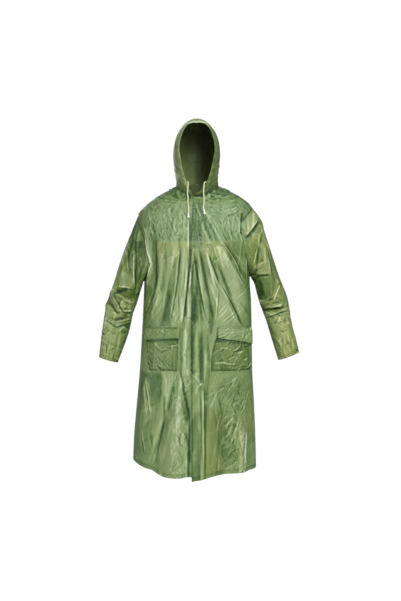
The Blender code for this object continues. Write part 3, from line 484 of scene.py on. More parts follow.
# The largest folds of the sleeves, at distances round the sleeve from its outer edge and along it.
SLEEVE_FOLDS = {
    "left": marks(
        CREASE,
        (20, 40, 150, 160, 17, -9, 0, -10),
        (30, 410, 190, 400, 15, -9, 4, -14),
        (30, 450, 190, 360, 16, 7, 0, 10),
        (60, 100, 90, 340, 18, 6, 0, 6),
        (-20, 360, -180, 400, 18, -8, 0, -12),
    ),
    "right": marks(
        CREASE,
        (130, 80, 120, 360, 14, 8, 0, 8),
        (30, 300, 180, 340, 15, -9, -6, -12),
        (0, 360, 120, 430, 15, -8, 0, -12),
        (60, 420, 190, 370, 16, 8, 0, 10),
        (-20, 340, -180, 380, 18, -8, 0, -12),
    ),
}

# Creases on the sleeves' front faces, by X and by how far they lie below the origin.
SLEEVE_CREASES = {
    "left": marks(
        CREASE,
        (265, 144, 198, 225, 3.8, -2, 0, -70),
        (216, 368, 306, 375, 3.2, -1.8, 0, -60),
        (264, 520, 370, 499, 3.4, -2.2, 0, -90),
        (296, 510, 360, 488, 2.8, 1.8, 0, 75),
        (286, 549, 380, 514, 3, -1.8, 0, -55),
        (343, 408, 314, 480, 3, 1.8, 0, 70),
        (248, 262, 232, 330, 2.8, 1.6, 0, 45),
        (290, 250, 306, 372, 3, -1.4, 0, -45),
        (286, 575, 370, 562, 3, -0.8, 0, -16),
        (205, 110, 210, 195, 4.4, 3, 0, 25),
        (235, 100, 230, 185, 4.8, 3, 0, 22),
        (260, 145, 230, 195, 5.3, -4, 0, -40),
        (230, 195, 200, 220, 4.8, -3.5, 0, -35),
        (270, 195, 255, 250, 5.7, -3, 0, -22),
        (255, 250, 245, 325, 5.7, -3, 0, -20),
        (290, 225, 305, 315, 6.6, 2.5, 0, 20),
        (275, 250, 280, 340, 5.5, 2.5, 0, 15),
        (225, 345, 285, 315, 4.4, 3, 0, 25),
        (230, 360, 270, 340, 3.5, -2.5, 0, -25),
        (235, 380, 300, 370, 4.4, -4, 0, -40),
        (255, 390, 270, 465, 8.8, -3, 0, -25),
        (315, 350, 340, 410, 5.3, 2.5, 0, 20),
        (340, 410, 315, 465, 4.8, 3.5, 0, 35),
        (360, 390, 370, 465, 4.8, -2.5, 0, -18),
        (305, 500, 355, 485, 4.4, 4, 0, 35),
        (275, 510, 350, 510, 4, -4.5, 0, -40),
        (270, 485, 310, 470, 4.4, -2.5, 0, -20),
        (295, 525, 325, 550, 4.4, 2.5, 0, 20),
        (330, 530, 360, 520, 4, -2.5, 0, -25),
        (345, 540, 325, 580, 4.4, 2.5, 0, 25),
        (370, 535, 375, 580, 4.4, 2, 0, 20),
        (310, 565, 350, 585, 4, -1.3, 4, -9),
        (355, 580, 385, 565, 4, 2.5, 0, 20),
        (340, 605, 375, 600, 4.4, -1.3, 0, -9),
        (325, 630, 350, 665, 4.4, 2.5, 0, 20),
        (370, 615, 385, 655, 4.8, 2.5, 0, 25),
        (350, 665, 395, 645, 4, -1.3, 0, -8),
        (390, 630, 400, 680, 4.4, 2, 0, 20),
        (355, 675, 365, 710, 4, 2, 0, 15),
    ),
    "right": marks(
        CREASE,
        (-257.5, 229, -238.4, 227, 2.6, 1.2, 0, 45),
        (-255.5, 236, -253.9, 440, 3.2, -1.8, 0, -75),
        (-290, 250, -276, 372, 3, -1.4, 0, -45),
        (-329, 418, -261.7, 426, 2.8, 1.4, 0, 50),
        (-344.5, 450, -303, 530, 3.2, -1.8, 0, -60),
        (-309, 526, -264, 521, 3.4, -2, 0, -75),
        (-370.4, 482, -320, 535, 3.2, -1.8, 0, -55),
        (-380.7, 555, -330, 590, 3.2, -1.8, 0, -50),
        (-340, 589, -272, 570, 3.4, -2, 0, -60),
        (-334, 565, -277.2, 552, 2.8, 1.4, 0, 50),
        (-235, 175, -260, 315, 5.5, 3, 0, 25),
        (-260, 195, -295, 315, 6.6, -2.5, 0, -15),
        (-275, 225, -315, 340, 6.6, 2.5, 0, 18),
        (-250, 235, -255, 435, 3.5, -2.5, 0, -35),
        (-240, 290, -230, 340, 4.4, 2, 4, 12),
        (-230, 340, -240, 395, 4.4, -2, 4, -20),
        (-290, 315, -325, 415, 6.6, 2.5, 0, 15),
        (-310, 365, -345, 460, 5.5, -2.5, 0, -15),
        (-350, 445, -285, 430, 7, -5, 0, -35),
        (-345, 440, -260, 495, 5.5, 3.5, 0, 25),
        (-375, 485, -350, 510, 4.4, -3, 0, -30),
        (-350, 510, -325, 535, 4, -3, 0, -30),
        (-325, 510, -265, 520, 4.4, -2.5, 4, -25),
        (-365, 510, -385, 600, 5.5, 2.5, 0, 20),
        (-350, 560, -290, 555, 7.7, -3, 4, -28),
        (-300, 580, -275, 600, 4, -2.5, 0, -25),
        (-335, 535, -350, 580, 4.4, 2.5, 0, 22),
        (-370, 600, -325, 615, 4.4, -2, -4, -18),
        (-375, 640, -335, 660, 4.4, -2, -4, -15),
        (-315, 605, -330, 690, 4.4, 2.2, 0, 18),
        (-350, 625, -370, 700, 4.4, 2, 0, 15),
        (-300, 465, -315, 500, 4.4, 2.5, 0, 20),
        (-220, 415, -250, 460, 5.5, -3, 0, -25),
        (-275, 475, -285, 565, 4.8, 2, 0, 12),
    ),
}
SLEEVE_CREASES_BEHIND = {
    "left": marks(
        CREASE,
        (255, 140, 262, 300, 7, -3, 4, -22),
        (285, 200, 300, 330, 6, 2.8, 0, 22),
        (240, 200, 250, 360, 5.5, 2.8, 0, 20),
        (255, 380, 330, 420, 6, -4, 4, -30),
        (270, 440, 350, 425, 5.5, 3.6, 0, 26),
        (290, 480, 385, 500, 5, -3.4, 0, -26),
        (300, 520, 330, 640, 5.5, 2.4, 0, 20),
        (345, 530, 385, 660, 5.5, -2.4, 0, -20),
        (340, 620, 395, 600, 5, 2.6, 0, 22),
    ),
    "right": marks(
        CREASE,
        (-250, 180, -262, 330, 7, -3, -4, -22),
        (-290, 240, -310, 370, 6, 2.8, 0, 22),
        (-240, 260, -245, 380, 5.5, 2.8, 0, 20),
        (-255, 430, -335, 440, 6, -4, 4, -30),
        (-270, 470, -355, 460, 5.5, 3.6, 0, 26),
        (-290, 520, -385, 530, 5, -3.4, 0, -26),
        (-300, 560, -325, 670, 5.5, 2.4, 0, 20),
        (-345, 570, -375, 690, 5.5, -2.4, 0, -20),
        (-330, 650, -385, 640, 5, 2.6, 0, 22),
    ),
}
STREWN_SLEEVES = {
    "left": (
        (51, 23, 235, 360, 150, 450, 22, 24, 20, 70, 2.4, 4.6, 0.5, 1.8, 4, 20),
        (52, 60, 260, 420, 470, 730, 66, 40, 15, 55, 2.2, 4.4, 0.8, 2.4, 6, 34),
    ),
    "right": (
        (53, 23, -360, -225, 180, 480, -20, 22, 20, 70, 2.4, 4.6, 0.5, 1.8, 4, 20),
        (54, 60, -420, -260, 480, 750, -60, 40, 15, 55, 2.2, 4.4, 0.8, 2.4, 6, 34),
    ),
}
SLEEVE_PATCHES = {
    "left": marks(
        PATCH,
        (200, 300, 50, 230, 40, 30, 50, 3, 5, 30),
        (225, 310, 230, 380, 30, 40, 10, -5, 38, 30),
        (270, 440, 500, 740, 40, 40, 20, 6, 16, 20),
        (365, 385, 560, 640, 16, 30, 30, 4, 45, 20),
    ),
    "right": marks(
        PATCH,
        (-300, -200, 80, 260, 50, 30, 10, -16, 0, 30),
        (-380, -230, 260, 470, 40, 20, 20, -6, 5, 30),
        (-420, -250, 480, 740, 40, 30, 20, 3, 10, 20),
    ),
}

# Flat planes between the creases, with painted light or shade: paler or darker than about them,
# as the film's facets are lit or shaded, the dark ones also yellower. Four corners, each an X and a
# distance down, in order round the plane; a pale plane also stands a little proud.
PLANE = "x0 d0 x1 d1 x2 d2 x3 d3 tone warmth"
PLANE_EDGE = 0.0045
PLANE_LIFT = 0.006
PLANE_LINE = 0.55
PLANE_WARMS = 1.6
FRONT_PLANES = marks(
    PLANE,
    (-216, 180, -204, 180, -188, 320, -198, 320, 20, 0),
    (-198, 320, -188, 320, -200, 410, -210, 410, 20, 0),
    (-188, 190, -166, 232, -166, 390, -184, 330, -18, 0),
    (-180, 344, -160, 372, -168, 540, -192, 474, -10, 0),
    (-134, 310, -88, 296, -138, 500, -200, 580, 10, 0),
    (-90, 306, -74, 290, -106, 580, -149, 580, -14, 0),
    (-67, 180, -27, 180, -60, 620, -105, 580, 7, 0),
    (-27, 269, -19, 269, -50, 600, -61, 600, -15, 0),
    (-29, 349, -24, 345, -31, 423, -40, 487, 24, 0),
    (-19, 330, -6, 310, 24, 520, -22, 590, -13, 0),
    (-5, 269, 7, 269, 52, 600, 26, 560, 7, 0),
    (7, 260, 16, 270, 70, 580, 52, 620, -13, 0),
    (0, 108, 24, 124, 102, 300, 62, 300, 5, 0),
    (24, 265, 45, 265, 146, 530, 74, 560, 6, 0),
    (40, 250, 57, 250, 188, 582, 152, 540, -12, 0),
    (66, 260, 108, 260, 204, 480, 180, 550, 9, 0),
    (98, 200, 119, 220, 206, 380, 198, 390, -12, 0),
    (174, 120, 190, 112, 216, 310, 198, 300, -13, 0),
    (-59, 530, -37, 530, -33, 778, -50, 778, 10, 0),
    (-67, 560, -59, 560, -63, 800, -72, 800, -10, 0),
    (-31, 540, -10, 540, -11, 718, -24, 718, -9, 0),
    (-3, 570, 14, 570, 23, 820, 6, 830, 10, 0),
    (50, 500, 66, 500, 45, 881, 30, 881, -12, 0),
    (27, 580, 49, 580, 36, 795, 25, 795, 6, 0),
    (-232, 768, -146, 768, -150, 890, -236, 932, -8, 0),
    (-208, 898, -150, 898, -192, 1094, -244, 1094, -4, 0),
    (-138, 776, -102, 776, -150, 1086, -192, 1106, 5, 0),
    (-102, 768, -44, 768, -44, 1176, -102, 1176, 5, -5),
    (-22, 768, 16, 768, 20, 924, -20, 924, 6, 0),
    (-20, 932, 16, 932, 16, 1184, -20, 1192, -3, 0),
    (24, 898, 102, 924, 110, 1184, 24, 1184, -5, 25),
    (122, 800, 176, 784, 142, 964, 102, 1004, 5, 0),
    (160, 964, 200, 882, 200, 1046, 160, 1136, 6, 10),
)
SLEEVE_PLANES = {
    "left": marks(
        PLANE,
        (212, 114, 256, 114, 244, 172, 204, 210, 12, -10),
        (190, 218, 248, 156, 258, 148, 208, 246, -14, 0),
        (216, 218, 270, 188, 252, 276, 220, 318, 2, 60),
        (274, 198, 294, 252, 304, 372, 244, 368, 10, -5),
        (218, 322, 244, 268, 244, 368, 228, 376, 3, 10),
        (232, 378, 298, 376, 302, 474, 256, 474, -13, 12),
        (298, 260, 318, 276, 376, 474, 304, 474, -4, 45),
        (328, 392, 338, 396, 318, 466, 308, 466, 16, 20),
        (256, 478, 356, 470, 356, 496, 266, 504, 8, 20),
        (256, 508, 352, 504, 340, 520, 270, 524, -14, 10),
        (278, 524, 360, 512, 368, 566, 302, 574, 6, 0),
        (270, 528, 298, 570, 318, 616, 290, 624, -10, 30),
        (302, 578, 372, 566, 386, 632, 328, 648, 6, 10),
        (340, 648, 394, 632, 410, 690, 356, 714, 3, 45),
    ),
    "right": marks(
        PLANE,
        (-248, 126, -216, 152, -222, 230, -264, 222, 10, -10),
        (-258, 230, -220, 232, -208, 318, -252, 408, -13, 30),
        (-302, 252, -262, 226, -266, 376, -302, 358, -7, 45),
        (-326, 300, -302, 260, -300, 376, -348, 408, 8, -5),
        (-300, 358, -260, 380, -258, 420, -348, 424, 6, 0),
        (-344, 424, -256, 422, -256, 466, -318, 478, -9, 50),
        (-372, 442, -344, 430, -318, 478, -348, 492, 8, 0),
        (-314, 478, -260, 470, -268, 500, -322, 512, 10, 0),
        (-352, 504, -322, 516, -274, 512, -294, 528, -14, 20),
        (-356, 550, -310, 532, -278, 546, -298, 582, -11, 40),
        (-388, 550, -360, 550, -348, 598, -398, 620, 8, 0),
        (-384, 608, -302, 590, -314, 660, -394, 652, 7, 10),
        (-398, 660, -318, 670, -326, 728, -402, 706, 5, 5),
    ),
}

# The hood, from the neck seam (rise 0) past its widest ring to the crown (rise 1).
HOOD = table(
    "rise height front_drop back_drop right left front back rim_right rim_left",
    (0, 0.002, 0.052, -0.018, 0.088, 0.09, 0.088, 0.078, 9, -9),
    (0.14, 0.03, 0.038, -0.012, 0.087, 0.0885, 0.1, 0.09, 27, 24),
    (0.28, 0.072, 0.018, -0.005, 0.094, 0.092, 0.118, 0.108, 39, 39),
    (0.45, 0.13, 0, 0, 0.101, 0.0975, 0.132, 0.128, 45.5, 48),
    (0.72, 0.13, 0, 0, 0.101, 0.0975, 0.132, 0.128, 51, 53),
    (0.82, 0.13, 0, 0, 0.101, 0.0975, 0.132, 0.128, 55, 56),
    (0.91, 0.13, 0, 0, 0.101, 0.0975, 0.132, 0.128, 50.5, 51),
    (1, 0.13, 0, 0, 0.101, 0.0975, 0.132, 0.128, 46.5, 46.5),
)
HOOD_WIDEST = 0.45
HOOD_CROWN = 0.155
HOOD_FRONT_SLOPE, HOOD_BACK_SLOPE = 0.825, 0.5
HOOD_TALL, HOOD_LAY = 0.33, 5
HOOD_CENTRE = (0.0, 0.0, 0.1)
HOOD_FOOT_EASE = 0.12
HOOD_CREASES_FROM, HOOD_CREASES_OVER = 0.01, 0.02
HOOD_CALM_FOOT, HOOD_CALM_TOP, HOOD_CALM_SHARE = 0.03, 0.02, 0.15
HOOD_SEAM_DARK, HOOD_SEAM_TONE = (-0.10, 0.003), -0.04
NECK_SEAM_DARK = (-0.16, 0.012)
CASING_WIDTH = 0.022
CASING_PROUD = 0.0012
CASING_THICK = 0.0036
CASING_WELD, CASING_GROOVE = 0.0015, (0.0009, -0.16)
# How fast the casing's roll comes in, and the painted highlight on it.
ROLL_EASE, ROLL_HIGHLIGHT = 0.05, 0.05

# The casing's gathers: steps between them, tilts (mean and spread) and heights (least and most).
HOOD_SEEDS = {"left": 81, "right": 82}
GATHERS = 22
GATHER_STEPS, GATHER_TILTS, GATHER_HIGHS = (0.022, 0.052), (0.25, 0.25), (0.4, 1.0)
GATHER_REACH, GATHER_WIDTH, GATHER_LEAN = 0.055, 0.012, 1.6
# The gathers' height, and their painted highlight where raised and painted shade where sunk.
GATHER_HEIGHT, GATHER_SHADING = 0.0011, 0.13
GATHERS_HIGH_UP, GATHERS_LOW_DOWN = 0.25, 0.75
GATHERS_FADE, GATHERS_FADE_OVER = 0.25, 0.3

# The hood's painted light and shade outside and inside, and its tints: where each starts and over
# how much it comes in.
HOOD_TOP_FROM, HOOD_TOP_OVER, HOOD_TOP_LOOK = 0.72, 0.2, (1.0, -0.9)
HOOD_TOP_HIGHLIGHT, HOOD_TOP_MIDDLE, HOOD_TOP_WIDTH, HOOD_TOP_ALL = 0.46, 0.009, 0.013, 0.05
HOOD_RIM_HIGHLIGHT, HOOD_RIM_AT, HOOD_RIM_WIDTH, HOOD_RIM_FROM = 0.16, 0.003, 0.004, 0.1
HOOD_LEFT_LOOK = (-0.10, 0.58)
HOOD_FOOT, HOOD_FOOT_SHADE = 0.20, 0.16
HOOD_SIDE_SHADE, HOOD_SIDE_FROM, HOOD_SIDE_OVER, HOOD_SIDE_BEFORE = 0.14, 0.078, 0.018, 0.02
# Inside the hood: painted shade all over, a painted pool of light on the wearer's right and at the
# foot, painted shade in the crown and a painted highlight inside the right rim.
INSIDE_PAINTED_SHADE, INSIDE_LIGHT, HOOD_LIGHT_OVER = -0.16, 0.22, 0.05
INSIDE_CROWN_SHADE, INSIDE_CROWN_FROM, INSIDE_CROWN_OVER = 0.12, 0.45, 0.4
INSIDE_FOOT_LIGHT, INSIDE_FOOT, INSIDE_FOOT_OVER = 0.07, 0.34, 0.3
INSIDE_RIM_HIGHLIGHT, INSIDE_RIM_AT, INSIDE_RIM_WIDTH = 0.20, 0.002, 0.004
INSIDE_WARMTH, INSIDE_COOLS, INSIDE_WARM_FOOT, INSIDE_WARM_OVER = 0.40, 0.30, 0.3, 0.25
INSIDE_GATHER_SHADING, INSIDE_SHADE, INSIDE_SEAM_DARK = 0.04, 0.3, (-0.05, 0.003)

# Creases of the hood, by millimetres from its rim (across) and by thousandths of rise (down).
HOOD_CREASES = {
    "left": marks(
        CREASE,
        (20, 100, 120, 220, 7, -3, 0, -22),
        (20, 200, 100, 340, 6, 2.6, 0, 18),
        (24, 320, 90, 420, 6, -2.2, 0, -16),
        (16, 970, 60, 800, 6, -2.6, 0, -25),
        (50, 450, 60, 750, 8, 2.2, 6, 12),
        (120, 100, 140, 600, 9, -3, 0, -16),
        (180, 80, 190, 500, 8, 2.6, 6, 14),
        (90, 600, 200, 720, 8, -2.2, 4, -12),
        (100, 800, 230, 860, 7, 2, 0, 12),
    ),
    "right": marks(
        CREASE,
        (18, 80, 110, 180, 6.5, -3, 0, -20),
        (20, 160, 100, 300, 6, 2.8, 0, 20),
        (24, 260, 90, 380, 6, -2.4, 0, -18),
        (30, 400, 50, 700, 7, 2, 6, 10),
        (110, 80, 130, 550, 9, 2.8, 0, 14),
        (170, 80, 180, 550, 8, -2.6, 6, -14),
        (80, 620, 190, 700, 8, 2.2, 4, 12),
        (110, 840, 220, 800, 7, -2, 0, -12),
    ),
}

# Where each pocket starts and ends, as shares of the way from the lap to the side edge at the
# flap's top, and how the two sides of its bag run; all by shares of the bag's height.
POCKETS = {
    "left": table("share near far", (0.0, 0.171, 0.853), (0.75, 0.088, 0.813), (1.0, 0.088, 0.741)),
    "right": table("share near far", (0.0, 0.144, 0.665), (0.8, 0.156, 0.588), (1.0, 0.162, 0.541)),
}
FLAPS = {"left": (0.165, 0.835), "right": (0.133, 0.675)}
# How far below its usual height each flap's low edge hangs, at the end by the lap and at the other.
FLAP_SLANT = {"left": (-0.011, 0.017), "right": (-0.011, -0.001)}
FLAP_TOP, BAG_TOP, FLAP_LOW, BAG_LOW = 0.584, 0.600, 0.641, 0.761
POCKET_CLEAR = 0.0008
POCKET_BULGE = 0.004
FLAP_LIFT = 0.0022
POCKET_WELD, POCKET_WELD_DEPTH = 0.005, 0.0006
POCKET_LAY, POCKET_LAY_SLANT = 7, 0.3
BAG_EASE, BAG_EASE_SHARE = 0.04, 0.3
BAG_WELD_TONE, BAG_EDGE_DARK = -0.12, (-0.22, 0.0025)
# A painted shadow on the bag just under the flap's low edge.
UNDER_FLAP, UNDER_FLAP_SHADOW = 0.004, (-0.22, 0.006)
FLAP_END_LOWER, FLAP_SHIFT = 0.4, 0.010
FLAP_CRUMPLE, FLAP_EASE, FLAP_SHADE = 0.8, 0.01, 0.7
FLAP_TOP_TONE, FLAP_LOW_TONE = -0.10, -0.05
# Dark lines at the flap's top and ends; a painted shadow along its low edge, which stands off.
FLAP_TOP_DARK, FLAP_LOW_SHADOW, FLAP_END_DARK = (-0.12, 0.0025), (-0.26, 0.0022), (-0.10, 0.0025)
STREWN_POCKETS = {
    "left": (71, 56, 60, 225, 600, 765, -52, 26, 18, 70, 2, 4, 0.8, 2.6, 8, 50),
    "right": (72, 44, -210, -70, 600, 765, 30, 40, 14, 60, 2, 4, 0.6, 2.2, 6, 40),
}
POCKET_FINISH = {"left": (-0.13, 0.50, 0.2), "right": (-0.12, 0.22, 0.2)}
FLAP_FINISH = {"left": (0.04, 0.02, 0.2), "right": (-0.03, 0.10, 0.4)}

STUD_DOWNS = (0.092, 0.256, 0.422, 0.5886, 0.761)
STUD_ACROSS = -0.0108
STUD_PROFILE = (
    (-0.0003, 0.0056), (0.0004, 0.0060), (0.0011, 0.0060), (0.0018, 0.0056), (0.0022, 0.0050),
    (0.0023, 0.0044), (0.0020, 0.0039), (0.0015, 0.0036), (0.0013, 0.0030), (0.0014, 0.0022),
    (0.0017, 0.0012), (0.0018, 0.0004),
)
TIP_PROFILE = (
    (-0.0020, 0.0026), (-0.0016, 0.0034), (0.0000, 0.0037), (0.0030, 0.0036), (0.0050, 0.0035),
    (0.0056, 0.0031), (0.0064, 0.0031), (0.0070, 0.0036), (0.0110, 0.0041), (0.0150, 0.0047),
    (0.0170, 0.0049), (0.0180, 0.0046), (0.0182, 0.0036), (0.0165, 0.0028), (0.0160, 0.0010),
)
TURNED_SIDES, TURNED_START = 40, (0.3, 0.1, 0.9)
FILM_CRISP, TURNED_CRISP, CORD_CRISP = 50, 50, 60
# Less creasing near each stud, and under the pockets from POCKET_CALM_FROM outwards.
STUD_CALM, STUD_CALM_REACH = 0.9, 0.016
POCKET_CALM, POCKET_CALM_FROM, POCKET_CALM_EDGE = 0.75, 0.05, 0.02

CORD_DIAMETER = 0.0055
CORD_ROUTES = {
    "left": (
        (0.0377, -0.0903, 0.0087), (0.0344, -0.092, 0.0083), (0.0312, -0.0945, 0.005),
        (0.0291, -0.0962, -0.003), (0.0283, -0.0962, -0.013), (0.0275, -0.0958, -0.024),
        (0.0272, -0.0956, -0.036), (0.0291, -0.099, -0.0545), (0.0289, -0.115, -0.075),
        (0.0271, -0.1238, -0.0985), (0.029, -0.1284, -0.1105),
    ),
    "right": (
        (-0.0403, -0.0882, 0.0084), (-0.0374, -0.0899, 0.0082), (-0.036, -0.0925, 0.004),
        (-0.0359, -0.0942, -0.005), (-0.0367, -0.0942, -0.014), (-0.0378, -0.0942, -0.024),
        (-0.0384, -0.0945, -0.0372), (-0.0358, -0.1, -0.059), (-0.0362, -0.1145, -0.0795),
        (-0.034, -0.1208, -0.0978), (-0.034, -0.128, -0.124),
    ),
}
CORD_RINGS, CORD_SIDES = 240, 24
BRAID_LAY = 0.011
BRAID_STRANDS = 4
BRAID_DEPTH = 0.00032
# Painted shade where the braid's strands dip, and the level above which they are paler.
BRAID_SHADE, BRAID_MIDDLE = 0.25, 0.6
CORD_END_NARROWS = 0.75
CURVE_STEPS = 20

# Painted shade on the sides of the body and the sleeves, where they turn away from the light.
SIDE_SHADE, SLEEVE_SIDE_SHADE = 0.24, 0.26
FINISH_SCALE, FINISH_MIDDLE = (1, 0.5, 1), (0.5, 0.5, 0)
CREASE_ENDS = 0.22
PARTNER_OFF = 1.7
SHADE_NARROWS = 0.8
STREWN_BOW = 0.12
ARMHOLE_ROUND = 0.6
FAN_TOP, FAN_SPREAD, FAN_REACH = 0.55, 0.45, 0.6
SHADE_WIDTH = 0.009
# Shares of the painted highlight and shade along the folds and creases.
FOLD_SHADE = 0.18
CREASE_SHADE = 0.62
PARTNER = 0.55
SLEEVE_CREASE_SHADE = 0.95
SLEEVE_CRUMPLE = 1.4
# The inner faces: the outer tint softened by these shares and darkened as painted shade of the
# hollow; the yoke's inside less so, where it shows at the neck opening.
SHADED_INSIDE_TONE, SHADED_INSIDE_SHARES = -0.06, (0.35, 0.5, 0.4)
YOKE_SHADED_INSIDE_TONE, YOKE_SHADED_INSIDE_LOOK = 0.30, (0.02, 0.3, 0.0)
HOOD_TONE, HOOD_WARMTH, HOOD_CRINKLE = -0.08, 0.42, 0.3
SLEEVE_TONE, SLEEVE_WARMTH, SLEEVE_CRINKLE = -0.07, 0.36, 0.15

# The film's finest creases: how far across and along the cloth one spans, their width and meander.
LONG_LINES, SHORT_LINES = (0.045, 0.20, 0.036, 0.9), (0.0125, 0.040, 0.055, 0.9)

# The cut of each piece before it is sewn: width and length.
CUTS = {
    "front_left": (0.36, 1.22),
    "front_right": (0.36, 1.20),
    "back": (0.60, 1.18),
    "neck_yoke": (0.86, 0.10),
    "sleeve_left": (0.50, 0.66),
    "sleeve_right": (0.50, 0.66),
    "hood_left": (0.30, 0.42),
    "hood_right": (0.30, 0.42),
    "pocket_left": (0.20, 0.175),
    "pocket_right": (0.15, 0.17),
    "flap_left": (0.185, 0.068),
    "flap_right": (0.15, 0.062),
}

WORLD_LIGHT, WORLD_SEEN = 0.42, 1.02
MIDDLE = (0.0, 0.0, -0.45)
LAMPS = (
    ("key", (1.3, -2.7, 1.3), (2.4, 2.0), 96),
    ("fill", (-2.2, -2.0, -0.2), (1.6, 2.2), 22),
    ("back", (-0.6, 3.2, 0.6), (2.6, 2.6), 40),
)
FLOOR_RADIUS, FLOOR_SIDES = 1.5, 96


def smooth(x, places, values):
    """Cubic curve through the values that never overshoots between two of them.

    Its slope at a value is the harmonic mean of the slopes beside it, or 0 where they turn round.
    """
    step = np.diff(places)
    slope = np.diff(values) / step
    before, after = slope[:-1], slope[1:]
    short, long = 2 * step[:-1] + step[1:], step[:-1] + 2 * step[1:]
    same_way = before * after > 0
    divisor = np.where(same_way, before * short + after * long, 1)
    inner = np.where(same_way, 3 * (step[:-1] + step[1:]) * before * after / divisor, 0)
    tangent = np.concatenate([slope[:1], inner, slope[-1:]])
    x = np.clip(x, places[0], places[-1])
    i = np.clip(np.searchsorted(places, x, side="right") - 1, 0, len(step) - 1)
    t = (x - places[i]) / step[i]
    rise = values[i + 1] - values[i]
    a, b = tangent[i] * step[i], tangent[i + 1] * step[i]
    return values[i] + t * (a + t * (3 * rise - 2 * a - b + t * (a + b - 2 * rise)))


def read(columns, key, x, *names):
    """The named columns of a table at any x along its key column, each a smooth curve."""
    return [smooth(x, columns[key], columns[name]) for name in names]


def ease(x):
    """0 below 0, 1 above 1, with a soft step between: 3 x squared less 2 x cubed."""
    x = np.clip(x, 0, 1)
    return x * x * (3 - 2 * x)


def bell(x):
    """1 at 0, falling off on both sides: e to the power of minus x squared."""
    return np.exp(-x * x)


def wrapped(turn):
    """The same turn between minus and plus 180 degrees."""
    return (turn + np.pi) % (2 * np.pi) - np.pi


def unit(vectors):
    """Each vector over its own length."""
    return vectors / np.maximum(np.linalg.norm(vectors, axis=-1, keepdims=True), 1e-12)


def normals_of(surface, turn, down, side):
    """Outward normals of surface(turn, down, side): its small step down crossed with its turn."""
    one = surface(turn + TURN_NUDGE, down, side) - surface(turn - TURN_NUDGE, down, side)
    two = surface(turn, down + DOWN_NUDGE, side) - surface(turn, down - DOWN_NUDGE, side)
    return unit(np.cross(two, one))


def joined(*tables):
    """Several tables with the same columns as one."""
    return {name: np.concatenate([t[name] for t in tables]) for name in tables[0]}


def rows_of(columns, names):
    """A table's rows, with their numbers in the order of the names."""
    return zip(*(columns[name] for name in names.split()))


def relief(creases, across, down, partner=0.0):
    """Height and painted shade of soft creases: each is a bell across its line, eased out at
    both ends.

    The line runs from (across0, down0) to (across1, down1) and bows out by a parabola. Partner is
    the share of the crease that comes back, turned over, beside it on the wearer's right; in the
    shade this paints that flank the other way, darker beside a pale ridge and paler beside a dark
    valley, as if lit by the key lamp on the wearer's left.
    """
    height, shade = np.zeros(across.shape), np.zeros(across.shape)
    for row in rows_of(creases, CREASE):
        across0, down0, across1, down1, half_width, high, bow, dark = row
        run, fall = across1 - across0, down1 - down0
        length = np.hypot(run, fall)
        t = ((across - across0) * run + (down - down0) * fall) / length**2
        off = ((across - across0) * fall - (down - down0) * run) / length
        off = off - bow * 4 * t * (1 - t)
        ends = ease(t / CREASE_ENDS) * ease((1 - t) / CREASE_ENDS)
        beside = off + (PARTNER_OFF if fall > 0 else -PARTNER_OFF) * half_width
        height += high * ends * (bell(off / half_width) - partner * bell(beside / half_width))
        width = SHADE_NARROWS * min(half_width, SHADE_WIDTH)
        shade += dark * ends * (bell(off / width) - partner * bell(beside / width))
    return height, shade


def scatter(seed, count, *pairs):
    """A table of small creases strewn over a patch, as uneven as crumpled film.

    The pairs are the lowest and highest X and distance down, the mean and spread of the lean from
    the vertical in degrees, and the lowest and highest length, half width, height and shade. Half
    of the creases are valleys. Squares and other powers of chance make most short and faint.
    """
    across, down, lean, length, half_width, height, shade = np.reshape(pairs, (7, 2)) / STREWN_UNITS
    draw = np.random.default_rng(seed)
    x, y = draw.uniform(*across, count), draw.uniform(*down, count)
    angle = np.radians(draw.normal(*lean, count))
    long = length[0] + (length[1] - length[0]) * draw.random(count) ** 2
    sign = np.where(draw.random(count) < 0.5, -1, 1)
    strong = draw.random(count) ** 1.5
    reach_x, reach_y = np.sin(angle) * long / 2, np.cos(angle) * long / 2
    columns = (
        x - reach_x,
        y - reach_y,
        x + reach_x,
        y + reach_y,
        draw.uniform(*half_width, count),
        sign * (height[0] + (height[1] - height[0]) * strong),
        draw.normal(0, STREWN_BOW, count) * long,
        sign * (shade[0] + (shade[1] - shade[0]) * strong),
    )
    return dict(zip(CREASE.split(), columns))


def patched(patches, across, down):
    """Tone, warmth and crinkle added by patches: boxes with soft edges, summed."""
    total = np.zeros(across.shape + (3,))
    for x0, x1, d0, d1, soft_x, soft_top, soft_low, *look in rows_of(patches, PATCH):
        inside = ease((across - x0) / soft_x + 0.5) * ease((x1 - across) / soft_x + 0.5)
        inside = inside * ease((down - d0) / soft_top + 0.5) * ease((d1 - down) / soft_low + 0.5)
        total += inside[..., None] * look
    return total


def planed(planes, across, down):
    """Height, and painted light or shade as tone and warmth, added by flat planes: inside all four
    edges, with soft borders.

    Each edge's share eases from 0 to 1 with the distance to its line, and the shares multiply.
    A thin painted line of the plane's own light or shade runs on its border, where that product is
    one half.
    """
    total = np.zeros(across.shape + (2,))
    for *places, tone, warmth in rows_of(planes, PLANE):
        corners = np.array(places).reshape(4, 2)
        after = np.roll(corners, -1, axis=0)
        area = (corners[:, 0] * after[:, 1] - corners[:, 1] * after[:, 0]).sum()
        inside = np.ones(across.shape)
        for (x0, d0), (x1, d1) in zip(corners, after):
            off = (x1 - x0) * (down - d0) - (d1 - d0) * (across - x0)
            off = off / np.hypot(x1 - x0, d1 - d0)
            inside = inside * ease(np.sign(area) * off / PLANE_EDGE + 0.5)
        total += inside[..., None] * (tone, warmth + PLANE_WARMS * max(0.0, -tone))
        total[..., 0] += PLANE_LINE * tone * 4 * inside * (1 - inside)
    return PLANE_LIFT * total[..., 0], total


